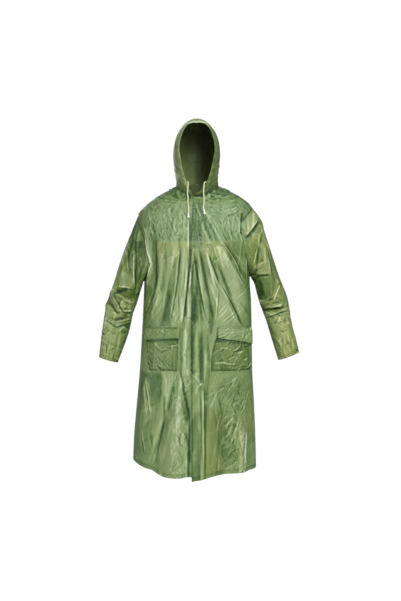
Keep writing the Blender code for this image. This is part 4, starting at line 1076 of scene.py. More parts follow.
def ring_across(turn, down):
    """X of the body's ring: half its width times the sine of the turn, squared off a little."""
    right, left, square = read(BODY, "down", down, "right", "left", "square")
    wide = (left + right) / 2 + (left - right) / 2 * np.sin(turn)
    return wide * (np.sin(turn) + square * np.sin(3 * turn)) / (1 - square)


def ring(turn, down, side):
    """The body without folds: X by the sine, Y by the cosine, and the ring dips at its front."""
    cos = np.cos(turn)
    front, back, square = read(BODY, "down", down, "front", "back", "square")
    y = -np.where(cos > 0, front, back) * (cos - square * np.cos(3 * turn)) / (1 - square)
    drop = np.where(cos > 0, *read(BODY, "down", down, "front_drop", "back_drop"))
    degrees = np.degrees(turn)
    left, right = (read(hem, "turn", degrees, "below")[0] for hem in (HEM_LEFT, HEM_RIGHT))
    hem = np.where(side > 0, left, right)
    hem = hem * ease((down - HEM_FADE_FROM) / (HEM_DOWN - HEM_FADE_FROM))
    flat = ease((down - YOKE_TOP) / (YOKE_EDGE - YOKE_TOP))
    z = -down - drop * cos * cos * (1 + flat * np.sin(turn) ** 2) - hem
    return np.stack(np.broadcast_arrays(ring_across(turn, down), y, z), axis=-1)


def arcs_of(creases):
    """The same creases with each X changed to the distance round the ring that reaches it."""
    out = dict(creases)
    for end in "01":
        places = zip(creases["across" + end], creases["down" + end])
        turns = [np.interp(x, ring_across(SIDE_TURNS, d), SIDE_TURNS) for x, d in places]
        out["across" + end] = ARC_RADIUS * np.array(turns)
    return out


def tuck(turn, side):
    """How far the wearer's right side is pressed in where the left one lies over it."""
    under = ease((turn + UNDERLAP_TURN) / (UNDERLAP_TURN * UNDERLAP_FADE))
    return np.where(side < 0, under, 0) * (WALL + LAYER_GAP)


def body(turn, down, side):
    """The body's ring moved out by its drape folds alone."""
    turn, down, side = np.broadcast_arrays(turn, down, side)
    turn = wrapped(turn)
    out = normals_of(ring, turn, down, side)
    height = relief(FRONT_ARCS, ARC_RADIUS * turn, down)[0]
    height = height + relief(BACK_ARCS, -ARC_RADIUS * wrapped(turn - np.pi), down)[0]
    return ring(turn, down, side) + out * (height - tuck(turn, side))[..., None]


def crumpled(turn, down, side):
    """The body with every crease: its ring moved out by folds, creases and planes, and its tint and
    painted shade.

    That is its tone, warmth and crinkle at each point, the tone with painted highlights and shade.
    """
    turn, down, side = np.broadcast_arrays(turn, down, side)
    turn = wrapped(turn)
    out = normals_of(ring, turn, down, side)
    x = ring_across(turn, down)
    front, behind = ARC_RADIUS * turn, -ARC_RADIUS * wrapped(turn - np.pi)
    folds, fold_shade = relief(FRONT_ARCS, front, down)
    folds_behind, shade_behind = relief(BACK_ARCS, behind, down)
    fine, fine_shade = relief(FRONT_FINE, front, down, PARTNER)
    fine_behind, fine_shade_behind = relief(BACK_FINE, behind, down, PARTNER)
    faces = np.cos(turn) > 0
    lift, planes = planed(FRONT_PLANES, x, down)
    fine = (fine + fine_behind + lift * faces) * calm_of(x, down, faces)
    height = folds + folds_behind + fine - tuck(turn, side)
    front_look, back_look = patched(FRONT_PATCHES, x, down), patched(BACK_PATCHES, -x, down)
    tint_and_shade = np.where(faces[..., None], front_look, back_look)
    shade = CREASE_SHADE * (fine_shade + fine_shade_behind)
    # Painted highlights and shade along the folds and creases.
    tint_and_shade[..., 0] += FOLD_SHADE * (fold_shade + shade_behind) + shade
    # Painted light and shade of the planes, on the front only.
    tint_and_shade[..., :2] += planes * faces[..., None]
    # Painted shade at the sides, where the body turns away from the light.
    tint_and_shade[..., 0] -= SIDE_SHADE * np.abs(np.sin(turn)) ** 8
    return ring(turn, down, side) + out * height[..., None], tint_and_shade


def calm_of(x, down, faces):
    """Less creasing round each stud and beneath the pockets: 1 less a share near each of them."""
    calm = np.ones(x.shape)
    for at in STUD_DOWNS:
        calm = calm * (1 - STUD_CALM * bell(np.hypot(x - STUD_ACROSS, down - at) / STUD_CALM_REACH))
    edge = POCKET_CALM_EDGE
    pocket = ease((down - FLAP_TOP) / edge + 1) * ease((BAG_LOW - down) / edge + 1)
    pocket = pocket * ease((np.abs(x) - POCKET_CALM_FROM) / edge) * faces
    return calm * (1 - POCKET_CALM * pocket)


def turn_at(x, down):
    """The turn at which the front of a ring reaches x, read off the ring's X at many turns."""
    places = zip(x, down)
    return np.array([np.interp(at, ring_across(FRONT_TURNS, d), FRONT_TURNS) for at, d in places])


def lap_edge(down):
    """X of the front edge of the wearer's left side, which laps over: eased from top to low."""
    settle = ease((down - YOKE_TOP) / (LAP_EDGE_SETTLES - YOKE_TOP))
    return LAP_EDGE_TOP + (LAP_EDGE_LOW - LAP_EDGE_TOP) * settle


def armhole_turn(down, hole, face):
    """Turn of the armhole's edge: 90 degrees at both its ends, less in front, more behind.

    The bite grows as a quarter sine down to its deepest place and shrinks as a cosine below it.
    """
    t = np.clip((down - hole["top"]) / (hole["bottom"] - hole["top"]), 0, 1)
    deepest, cut = hole[face + "_at"], np.radians(hole[face])
    upper = np.sin(np.pi / 2 * np.clip(t / deepest, 0, 1))
    lower = np.cos(np.pi / 2 * np.clip((t - deepest) / (1 - deepest), 0, 1)) ** ARMHOLE_ROUND
    bite = cut * np.where(t < deepest, upper, lower)
    return hole["side"] * (np.pi / 2 - bite if face == "front" else np.pi / 2 + bite)


def hood(rise, turn, side):
    """A point of the hood: rings up to its widest, then a round crown, both cut off at the rim."""
    rise, turn = np.broadcast_arrays(rise, turn)
    cos, sin = np.cos(turn), np.sin(turn)
    right, left, front, back = read(HOOD, "rise", rise, "right", "left", "front", "back")
    height, front_drop, back_drop = read(HOOD, "rise", rise, "height", "front_drop", "back_drop")
    lift = np.radians(90) * np.clip((rise - HOOD_WIDEST) / (1 - HOOD_WIDEST), 0, None)
    wide = (left + right) / 2 + (left - right) / 2 * side * sin
    x = side * wide * sin * np.cos(lift)
    up = np.sin(lift)
    y = -np.where(cos > 0, front * cos, back * cos * np.sqrt(1 - up * up / 2))
    drop = np.where(cos > 0, front_drop, back_drop)
    slope = np.where(cos > 0, HOOD_FRONT_SLOPE, HOOD_BACK_SLOPE)
    z = height - drop * cos * cos + HOOD_CROWN * up * np.sqrt(1 - slope * cos * cos)
    return np.stack([x, y, z], axis=-1)


def turn_of(y, down):
    """The turn at which the body's bare ring has this Y, from 0 in front to 180 degrees behind.

    Five rounds each put the last cosine into the squared-off part and solve for the plain part.
    """
    front, back, square = read(BODY, "down", down, "front", "back", "square")
    target = -y / np.where(y < 0, front, back) * (1 - square)
    cos = target
    for _ in range(5):
        cos = np.clip(target + square * (4 * cos**3 - 3 * cos), -1, 1)
    return np.arccos(cos)


def outside_body(points, along, hole):
    """Moves a sleeve's points out till they clear the body's side, by more away from the seam.

    Each X becomes the soft larger one of itself and the limit: half of their sum and of the root
    of their gap squared plus the clearance squared.
    """
    side, down = hole["side"], -points[..., 2]
    clear = UNDERARM_CLEAR * ease(along / UNDERARM_LEAVES)
    limit = side * body(side * turn_of(points[..., 1], down), down, side)[..., 0] + clear
    x = side * points[..., 0]
    x = (x + limit + np.sqrt((x - limit) ** 2 + clear**2)) / 2
    return np.stack([side * x, points[..., 1], points[..., 2]], axis=-1)


def sleeve_bare(along, round_, hand):
    """A sleeve without creases: ovals between its two edges, eased out of the armhole's curve."""
    hole = ARMHOLES[hand]
    cos, sin = np.cos(round_), np.sin(round_)

    def oval(s):
        out_x, in_x, out_down, in_down, deep, forward = read(
            SLEEVES[hand], "along", s, "out_x", "in_x", "out_down", "in_down", "deep", "forward"
        )
        x = (out_x + in_x) / 2 + (out_x - in_x) / 2 * cos
        z = (out_down + in_down) / 2 + (out_down - in_down) / 2 * cos
        return np.stack([hole["side"] * x, -forward - deep * sin, -z], axis=-1)

    down = hole["top"] + (1 - cos) / 2 * (hole["bottom"] - hole["top"])
    turn = np.where(sin > 0, armhole_turn(down, hole, "front"), armhole_turn(down, hole, "back"))
    edge = body(turn, down, hole["side"])
    fade = 1 - ease(along / ARMHOLE_FADE)
    points = oval(along) + (edge - oval(np.zeros_like(along))) * fade[..., None]
    points = outside_body(points, along, hole)
    seam = crumpled(turn, down, hole["side"])[0]
    return points + (seam - edge) * (1 - ease(along / SEAM_SHARE))[..., None]


def grid_normals(points, toward, around=False):
    """Normals of a grid from its neighbours' differences, turned to the same side as toward."""
    grid = np.concatenate([points[:, -1:], points, points[:, :1]], axis=1) if around else points
    normals = np.cross(np.gradient(grid, axis=0), np.gradient(grid, axis=1))
    normals = unit(normals[:, 1:-1] if around else normals)
    return normals * (1 if (normals * toward).sum() > 0 else -1)


def cells(rows, columns, around=False):
    """The vertex numbers of a grid, closed round if asked, and the four corners of each cell."""
    index = np.arange(rows * columns).reshape(rows, columns)
    if around:
        index = np.concatenate([index, index[:, :1]], axis=1)
    corners = [index[:-1, :-1], index[:-1, 1:], index[1:, 1:], index[1:, :-1]]
    return index, np.stack(corners, axis=-1).reshape(-1, 4)


def shell(name, outer, toward, thickness, tint_and_shade, inside_shading_finish, lay, around=False):
    """A closed thin shell: a grid of outer points, the same grid moved in, and a rim between.

    The outer face's tone, warmth and crinkle at each point, painted highlights and shade included,
    come first, then the inner face's; the inner face takes the darker inside film as painted shade
    of the hollow.
    Lay is how far each point lies across and down the cloth, which the film's creasing follows.
    """
    rows, columns = outer.shape[:2]
    normals = grid_normals(outer, toward, around)
    inner = outer - normals * np.broadcast_to(thickness, (rows, columns))[..., None]
    index, quads = cells(rows, columns, around)
    flat = outer.reshape(-1, 3)
    facing = np.cross(flat[quads[:, 2]] - flat[quads[:, 0]], flat[quads[:, 3]] - flat[quads[:, 1]])
    edges = [(index[0, :-1], index[0, 1:]), (index[-1, 1:], index[-1, :-1])]
    if not around:
        edges += [(index[:-1, -1], index[1:, -1]), (index[1:, 0], index[:-1, 0])]
    start, end = (np.concatenate(ends) for ends in zip(*edges))
    if (facing * normals.reshape(-1, 3)[quads[:, 0]]).sum() < 0:
        quads = quads[:, ::-1]
        start, end = end, start
    size = rows * columns
    rim = np.stack([end, start, start + size, end + size], axis=-1)
    faces = np.concatenate([quads, quads[:, ::-1] + size, rim])
    slots = np.repeat([0, 1, 0], [len(quads), len(quads), len(rim)])
    points = np.concatenate([flat, inner.reshape(-1, 3)])
    tint = np.concatenate([tint_and_shade.reshape(-1, 3), inside_shading_finish.reshape(-1, 3)])
    across, down = np.broadcast_arrays(*lay)
    cloth = np.stack([across, down, np.zeros(down.shape)], axis=-1).reshape(-1, 3)
    cloth = np.concatenate([cloth, cloth + (0, 0, 1)])
    # The inner faces take the much darker inside film: painted shade of the hollow.
    return solid(name, points, faces, tint, [FILM, SHADED_INSIDE], FILM_CRISP, slots, cloth)


def solid(name, points, faces, tint_and_shade, materials, crisp, slots=None, lay=None):
    """A mesh object from points, four-cornered faces and the tint and painted shade at each point.

    Edges sharper than crisp, in degrees, stay sharp. Tone and warmth are kept about 0.5.
    """
    mesh = bpy.data.meshes.new(name)
    mesh.vertices.add(len(points))
    mesh.vertices.foreach_set("co", np.asarray(points, np.float32).ravel())
    mesh.loops.add(faces.size)
    mesh.loops.foreach_set("vertex_index", faces.astype(np.int32).ravel())
    mesh.polygons.add(len(faces))
    mesh.polygons.foreach_set("loop_start", np.arange(0, faces.size, 4, dtype=np.int32))
    mesh.update(calc_edges=True)
    for material in materials:
        mesh.materials.append(material)
    if slots is not None:
        mesh.polygons.foreach_set("material_index", slots.astype(np.int32))
    tint = mesh.attributes.new("tint_and_shade", "FLOAT_COLOR", "POINT")
    shown = tint_and_shade * FINISH_SCALE + FINISH_MIDDLE
    shown = np.concatenate([shown, np.ones((len(points), 1))], axis=1)
    tint.data.foreach_set("color", np.clip(shown, 0, 1).astype(np.float32).ravel())
    if lay is not None:
        cloth = mesh.attributes.new("lay", "FLOAT_VECTOR", "POINT")
        cloth.data.foreach_set("vector", lay.astype(np.float32).ravel())
    mesh.validate()
    mesh.shade_smooth()
    mesh.set_sharp_from_angle(angle=np.radians(crisp))
    item = bpy.data.objects.new(name, mesh)
    bpy.context.scene.collection.objects.link(item)
    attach(item, "root")
    return item


def rings_along(name, path, first, second, radius, tint_and_shade, material, crisp):
    """A closed piece of circles round a path: each point is cosine and sine of its angle times
    the radius there, along the two directions square to the path. Strips close the flat ends."""
    rings, sides = radius.shape
    angle = np.linspace(0, 2 * np.pi, sides, endpoint=False)[None, :, None]
    spoke = first[:, None] * np.cos(angle) + second[:, None] * np.sin(angle)
    points = path[:, None] + spoke * radius[..., None]
    index, quads = cells(rings, sides, True)
    step = np.arange(sides // 2 - 1)
    caps = [
        np.stack([r[step], r[step + 1], r[sides - 2 - step], r[sides - 1 - step]], axis=-1)
        for r in (index[0, -2::-1], index[-1, :-1])
    ]
    faces = np.concatenate([quads] + caps)
    return solid(name, points.reshape(-1, 3), faces, tint_and_shade.reshape(-1, 3), [material], crisp)


def aim_camera():
    """The camera, level and straight in front, as wide in view as its frame and lens say."""
    data = bpy.data.cameras.new("camera")
    data.sensor_fit = "HORIZONTAL"
    data.sensor_width = SENSOR
    data.lens = PICTURE_FOCUS / PICTURE_WIDTH * SENSOR
    camera = bpy.data.objects.new("camera", data)
    camera.location = EYE
    camera.rotation_euler = (np.pi / 2, 0, 0)
    bpy.context.scene.collection.objects.link(camera)
    bpy.context.scene.camera = camera


def curve_through(route, count):
    """Points on a smooth curve through the route's points, evenly spaced along it."""
    route = np.array(route)
    length = np.concatenate([[0], np.cumsum(np.linalg.norm(np.diff(route, axis=0), axis=1))])
    at = np.linspace(0, length[-1], CURVE_STEPS * count)
    fine = np.stack([smooth(at, length, route[:, i]) for i in range(3)], axis=-1)
    run = np.concatenate([[0], np.cumsum(np.linalg.norm(np.diff(fine, axis=0), axis=1))])
    even = np.linspace(0, run[-1], count)
    return np.stack([np.interp(even, run, fine[:, i]) for i in range(3)], axis=-1), run[-1]


def frames_along(path):
    """Two directions square to the path at each point, carried along it with no twist."""
    ahead = unit(np.gradient(path, axis=0))
    first = np.zeros_like(path)
    side = unit(np.cross(ahead[0], (0.0, 1.0, 0.0)))
    for i, way in enumerate(ahead):
        side = unit(side - way * (side @ way))
        first[i] = side
    return first, np.cross(ahead, first)


def braid(rings, sides, length):
    """Height of a flat-laid braid: two sets of strands wind opposite ways and pass over in turn."""
    wind = 2 * np.pi * np.linspace(0, length, rings)[:, None] / BRAID_LAY * BRAID_STRANDS
    strand = BRAID_STRANDS * np.linspace(0, 2 * np.pi, sides, endpoint=False)[None]
    return np.maximum(np.cos(strand + wind), np.cos(strand - wind))


def turned(name, place, ahead, profile, material):
    """A turned piece: a profile of distances along and out from an axis, carried round it.

    Ahead is the way that the axis points.
    """
    along, out = np.array(profile).T
    ahead = unit(ahead)
    path = place + np.outer(along, ahead)
    first = unit(np.cross(ahead, TURNED_START))
    first, second = (np.broadcast_to(way, path.shape) for way in (first, np.cross(ahead, first)))
    radius = np.repeat(out[:, None], TURNED_SIDES, axis=1)
    plain = np.zeros((radius.size, 3))
    return rings_along(name, path, first, second, radius, plain, material, TURNED_CRISP)


def build_cord(hand):
    """A drawcord down to its free end, with the moulded tip that grips it."""
    path, length = curve_through(CORD_ROUTES[hand], CORD_RINGS)
    over = braid(CORD_RINGS, CORD_SIDES, length)
    radius = CORD_DIAMETER / 2 - BRAID_DEPTH * (1 - over)
    radius[[0, -1]] *= CORD_END_NARROWS
    tint_and_shade = np.zeros(over.shape + (3,))
    # Painted shade where the strands dip under, a little paler where they pass over.
    tint_and_shade[..., 0] = BRAID_SHADE * (over - BRAID_MIDDLE)
    first, second = frames_along(path)
    name = hand + "_drawcord"
    cord = rings_along(name, path, first, second, radius, tint_and_shade, CORD, CORD_CRISP)
    tip = turned(hand + "_cord_tip", path[-1], path[-1] - path[-2], TIP_PROFILE, TIP)
    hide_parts("drawcord_" + hand)
    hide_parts("cord_tip_" + hand)


def crowded(low, high, count, length, extra):
    """Even steps from low to high, with extra ones over the last stretch of the given length."""
    even = np.linspace(low, high - length, count)
    return np.concatenate([even, np.linspace(high - length, high, extra)[1:]])


def between(start, end, share, rows):
    """The turns and rings of a grid: each row runs from its start to its end by the shares."""
    turn = start[:, None] + (end - start)[:, None] * share
    return turn, np.broadcast_to(rows[:, None], turn.shape)


def fan(turn, down):
    """Across and down the cloth of the body: the lines across stay level, those down fan out."""
    return ARC_RADIUS * turn / (FAN_TOP + FAN_SPREAD * ease(down / FAN_REACH)), down


def cloth_area(grid, around=False):
    """The area of a grid: half the length of each cell's crossed diagonals."""
    if around:
        grid = np.concatenate([grid, grid[:, :1]], axis=1)
    one, two = grid[1:, 1:] - grid[:-1, :-1], grid[1:, :-1] - grid[:-1, 1:]
    return np.linalg.norm(np.cross(one, two), axis=-1).sum() / 2


def from_column(points, edge):
    """How far each point lies from the first or last point of its row."""
    return np.linalg.norm(points - points[:, edge][:, None], axis=-1)


def tinted(tint_and_shade, off, tone, width):
    """Adds tone where off is zero, falling off as a bell of this width."""
    tint_and_shade[..., 0] += tone * bell(off / width)


def weld(points, tint_and_shade, toward, off, depth=WELD_DEPTH, tone=WELD_TONE):
    """A welded seam line: a shallow groove, a little darker, where off is zero."""
    line = bell(off / WELD_WIDTH)
    tint_and_shade[..., 0] += tone * line
    return points - toward * (depth * line)[..., None]


def side_seam(points, tint_and_shade, toward, edge):
    """A seam along a grid's first or last column: a weld beside it and the dark join itself."""
    off = from_column(points, edge)
    points = weld(points, tint_and_shade, toward, off - SEAM_WELD)
    tinted(tint_and_shade, off, *SEAM_DARK)
    return points


def inside_shading_of(tint_and_shade, tone=SHADED_INSIDE_TONE):
    """The inner face's tint and painted shade: the outer one's, much softened, and shifted by
    the tone.
    """
    inside = tint_and_shade * SHADED_INSIDE_SHARES
    inside[..., 0] += tone
    return inside


def declare(node, area):
    """Hides the imported part of this node; its area, held to the cut of its cloth, is not used."""
    width, length = CUTS[node]
    area = float(min(area, width * length))
    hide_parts(node)


def build_front(hand):
    """A front: its grid runs from the free edge at the lap to the side seam and the armhole."""
    hole = ARMHOLES[hand]
    side = hole["side"]
    rows = crowded(YOKE_EDGE, HEM_DOWN, FRONT_ROWS, *HEM_CROWD)
    free = lap_edge(rows) if hand == "left" else np.full_like(rows, UNDERLAP_EDGE)
    start, end = turn_at(free, rows), armhole_turn(rows, hole, "front")
    turn, down = between(start, end, np.linspace(0, 1, FRONT_COLUMNS), rows)
    points, tint_and_shade = crumpled(turn, down, side)
    out = normals_of(ring, turn, down, side)
    points = weld(points, tint_and_shade, out, HEM_DOWN - down - HEM_WELD)
    points = side_seam(points, tint_and_shade, out, -1)
    near = from_column(points, 0)
    if hand == "left":
        points = weld(points, tint_and_shade, out, near - LAP_WELD, LAP_WELD_DEPTH, LAP_WELD_TONE)
        points = points + out * (LAP_ROLL * bell(near / LAP_ROLL_WIDTH))[..., None]
        # Painted shadow along the lap's edge, where it lies over the right front.
        tinted(tint_and_shade, near, *LAP_EDGE_SHADOW)
    name = hand + "_front_panel"
    item = shell(name, points, out, SHELL, tint_and_shade, inside_shading_of(tint_and_shade), fan(turn, down))
    declare("front_" + hand, cloth_area(points))


def build_back():
    """The back: its grid runs from the left side seam and armhole round to the right ones."""
    rows = crowded(YOKE_EDGE, HEM_DOWN, BACK_ROWS, *HEM_CROWD)
    left = armhole_turn(rows, ARMHOLES["left"], "back")
    right = 2 * np.pi + armhole_turn(rows, ARMHOLES["right"], "back")
    turn, down = between(left, right, np.linspace(0, 1, BACK_COLUMNS), rows)
    side = np.where(wrapped(turn) < 0, -1, 1)
    points, tint_and_shade = crumpled(turn, down, side)
    out = normals_of(ring, turn, down, side)
    points = weld(points, tint_and_shade, out, HEM_DOWN - down - HEM_WELD)
    for edge in (0, -1):
        points = side_seam(points, tint_and_shade, out, edge)
    item = shell("back_panel", points, out, SHELL, tint_and_shade, inside_shading_of(tint_and_shade), fan(turn, down))
    declare("back", cloth_area(points))


def build_yoke():
    """The crumpled band round the neck, from the underlap round the back to the lap's edge."""
    rows = np.linspace(YOKE_TOP, YOKE_EDGE, YOKE_ROWS)
    start = turn_at(np.full_like(rows, UNDERLAP_EDGE), rows)
    end = turn_at(lap_edge(rows), rows) - 2 * np.pi
    turn, down = between(start, end, np.linspace(0, 1, YOKE_COLUMNS), rows)
    side = np.where(turn > -np.pi, -1, 1)
    points, tint_and_shade = crumpled(turn, down, side)
    out = normals_of(ring, turn, down, side)
    points = weld(points, tint_and_shade, out, down - YOKE_EDGE + YOKE_WELD, -YOKE_RIDGE, YOKE_TONE)
    tinted(tint_and_shade, down - YOKE_EDGE, *YOKE_LOW_DARK)
    tinted(tint_and_shade, down - YOKE_TOP, *YOKE_TOP_DARK)
    # The yoke's inner face is paler and yellower: less painted shade where it shows at the neck.
    inside_shading = inside_shading_of(tint_and_shade, YOKE_SHADED_INSIDE_TONE) + YOKE_SHADED_INSIDE_LOOK
    item = shell("neck_yoke_band", points, out, SHELL, tint_and_shade, inside_shading, (down, ARC_RADIUS * turn))
    declare("neck_yoke", cloth_area(points))


def sleeve_creases(hand, along, round_, x, down):
    """Height and shade of a sleeve's creases, its own in front and others behind, and of its folds.

    Each face's share eases in with the sine of the angle round. The creases start past the armhole
    seam and are lower beside the body, down to the elbow. The third result is the planes' painted
    light and shade, as tone and warmth, of which the face behind has less.
    """
    facing, behind = ease(np.sin(round_) / FACE_EASE), ease(-np.sin(round_) / FACE_EASE)
    strewn = joined(*(scatter(*row) for row in STREWN_SLEEVES[hand]))
    moved = {end: strewn[end] + BEHIND_LOWER for end in ("down0", "down1")}
    there = joined(SLEEVE_CREASES_BEHIND[hand], dict(strewn, **moved))
    fine, fine_shade = relief(joined(SLEEVE_CREASES[hand], strewn), x, down, PARTNER)
    fine_behind, shade_behind = relief(there, x, down, PARTNER)
    arc, run = SLEEVE_RADIUS * wrapped(round_), SLEEVE_LENGTH * along
    swell, swell_shade = relief(SLEEVE_FOLDS[hand], arc, run, PARTNER)
    inner = bell((np.pi - np.abs(wrapped(round_))) / INNER_WIDTH) * (along < ELBOW)
    kept = ease((along - CREASES_START) / CREASES_EASE) * (1 - INNER_CALM * inner)
    lift, planes = planed(SLEEVE_PLANES[hand], x, down)
    fine = (SLEEVE_CRUMPLE * fine + lift) * facing + (SLEEVE_CRUMPLE * fine_behind + lift) * behind
    height = fine * kept + swell * ease((along - FOLDS_START) / FOLDS_EASE)
    fine_shade = fine_shade * facing + shade_behind * behind
    shade = FOLD_SHADE * swell_shade + SLEEVE_CREASE_SHADE * fine_shade
    return height, shade, planes * (PLANES_BEHIND + PLANES_FACING * facing)[..., None]


def build_sleeve(hand):
    """A sleeve from the armhole to the open cuff, with its folds at the elbow."""
    side = ARMHOLES[hand]["side"]
    along = crowded(0, 1, SLEEVE_ROWS, *CUFF_CROWD)[:, None]
    round_ = np.linspace(np.pi, 3 * np.pi, SLEEVE_COLUMNS, endpoint=False)[None]
    along, round_ = np.broadcast_arrays(along, round_)
    bare = sleeve_bare(along, round_, hand)
    x, down = bare[..., 0], -bare[..., 2]
    out = grid_normals(bare, bare - bare.mean(axis=1, keepdims=True), around=True)
    height, shade, planes = sleeve_creases(hand, along, round_, x, down)
    points = bare + out * height[..., None]
    tint_and_shade = patched(SLEEVE_PATCHES[hand], x, down) + (SLEEVE_TONE, SLEEVE_WARMTH, SLEEVE_CRINKLE)
    # Painted light and shade of the planes, and below it of the creases and folds.
    tint_and_shade[..., :2] += planes
    tint_and_shade[..., 0] += shade
    # Painted shade at the sleeve's edges, where it turns away from the light.
    tint_and_shade[..., 0] -= SLEEVE_SIDE_SHADE * np.abs(np.cos(round_)) ** 10
    length = np.linalg.norm(np.diff(points, axis=0), axis=-1)
    to_cuff = np.concatenate([np.cumsum(length[::-1], axis=0)[::-1], np.zeros_like(length[:1])])
    points = weld(points, tint_and_shade, out, to_cuff - CUFF_WELD)
    tinted(tint_and_shade, to_cuff, *CUFF_DARK)
    tinted(tint_and_shade, to_cuff[:1] - to_cuff, *ARMHOLE_DARK)
    lay = (SLEEVE_RADIUS * round_ + side * SLEEVE_LAY, SLEEVE_LENGTH * along)
    name = hand + "_sleeve"
    item = shell(name, points, out, SHELL, tint_and_shade, inside_shading_of(tint_and_shade), lay, around=True)
    declare("sleeve_" + hand, cloth_area(points, True))


def hood_gathers(hand, rise, inward):
    """Gathers of the casing: bells of rise at uneven steps, each leaning as it runs in from the rim
    and ending at its own reach, up or down by chance, and lower further up the sides."""
    draw = np.random.default_rng(HOOD_SEEDS[hand])
    centres = np.cumsum(draw.uniform(*GATHER_STEPS, GATHERS))
    tilts, highs = draw.normal(*GATHER_TILTS, GATHERS), draw.uniform(*GATHER_HIGHS, GATHERS)
    total = np.zeros(rise.shape)
    for centre, tilt, high in zip(centres, tilts, highs):
        line = centre + tilt * inward * GATHER_LEAN
        sign = 1 if draw.random() < 0.5 else -1
        kept = 1 - ease(inward / GATHER_REACH / (0.5 + high))
        total += sign * high * bell((rise - line) / GATHER_WIDTH) * kept
    low = 1 - ease((rise - GATHERS_FADE) / GATHERS_FADE_OVER)
    return total * (GATHERS_HIGH_UP + GATHERS_LOW_DOWN * low)


def paint_hood_light_and_shade(tint_and_shade, side, rise, inward, bare):
    """Paints light and shade on a hood half: a pale, cool painted highlight at the top of its rim,
    painted shade at its foot and far sides, and a painted highlight along the rim on the right; it
    is also darker and yellower on the wearer's left.

    Each is a bell or an eased step of the rise, the distance in from the rim or X.
    """
    top = ease((rise - HOOD_TOP_FROM) / HOOD_TOP_OVER)
    rim = HOOD_TOP_HIGHLIGHT * bell((inward - HOOD_TOP_MIDDLE) / HOOD_TOP_WIDTH) + HOOD_TOP_ALL
    tint_and_shade[..., :2] += (top * rim)[..., None] * HOOD_TOP_LOOK
    bright = HOOD_RIM_HIGHLIGHT * bell((inward - HOOD_RIM_AT) / HOOD_RIM_WIDTH)
    tint_and_shade[..., 0] += bright * (side < 0) * ease((rise - HOOD_RIM_FROM) / HOOD_RIM_FROM)
    tint_and_shade[..., :2] += (side > 0) * (1 - top)[..., None] * HOOD_LEFT_LOOK
    tint_and_shade[..., 0] -= HOOD_FOOT_SHADE * ease((HOOD_FOOT - rise) / HOOD_FOOT)
    far = ease((np.abs(bare[..., 0]) - HOOD_SIDE_FROM) / HOOD_SIDE_OVER)
    tint_and_shade[..., 0] -= HOOD_SIDE_SHADE * far * (bare[..., 1] < HOOD_SIDE_BEFORE)


def hood_inside_shading(side, rise, inward, x):
    """A hood half's inner painted light and shade: dark all over as painted shade of the hollow,
    with a painted pool of light to the wearer's right and at the foot, less yellow on the right
    above the foot, painted shade up in the crown, and a painted highlight inside the right rim."""
    inside_shading = np.zeros(rise.shape + (3,))
    light = ease(0.5 - x / HOOD_LIGHT_OVER)
    crown = ease((rise - INSIDE_CROWN_FROM) / INSIDE_CROWN_OVER)
    inside_shading[..., 0] = INSIDE_PAINTED_SHADE + INSIDE_LIGHT * light - INSIDE_CROWN_SHADE * crown
    foot = INSIDE_FOOT_LIGHT * ease((INSIDE_FOOT - rise) / INSIDE_FOOT_OVER)
    rim = INSIDE_RIM_HIGHLIGHT * bell((inward - INSIDE_RIM_AT) / INSIDE_RIM_WIDTH)
    inside_shading[..., 0] += foot + rim * (side < 0)
    low = 1 - ease((INSIDE_WARM_FOOT - rise) / INSIDE_WARM_OVER)
    inside_shading[..., 1] = INSIDE_WARMTH - INSIDE_COOLS * light * low
    return inside_shading


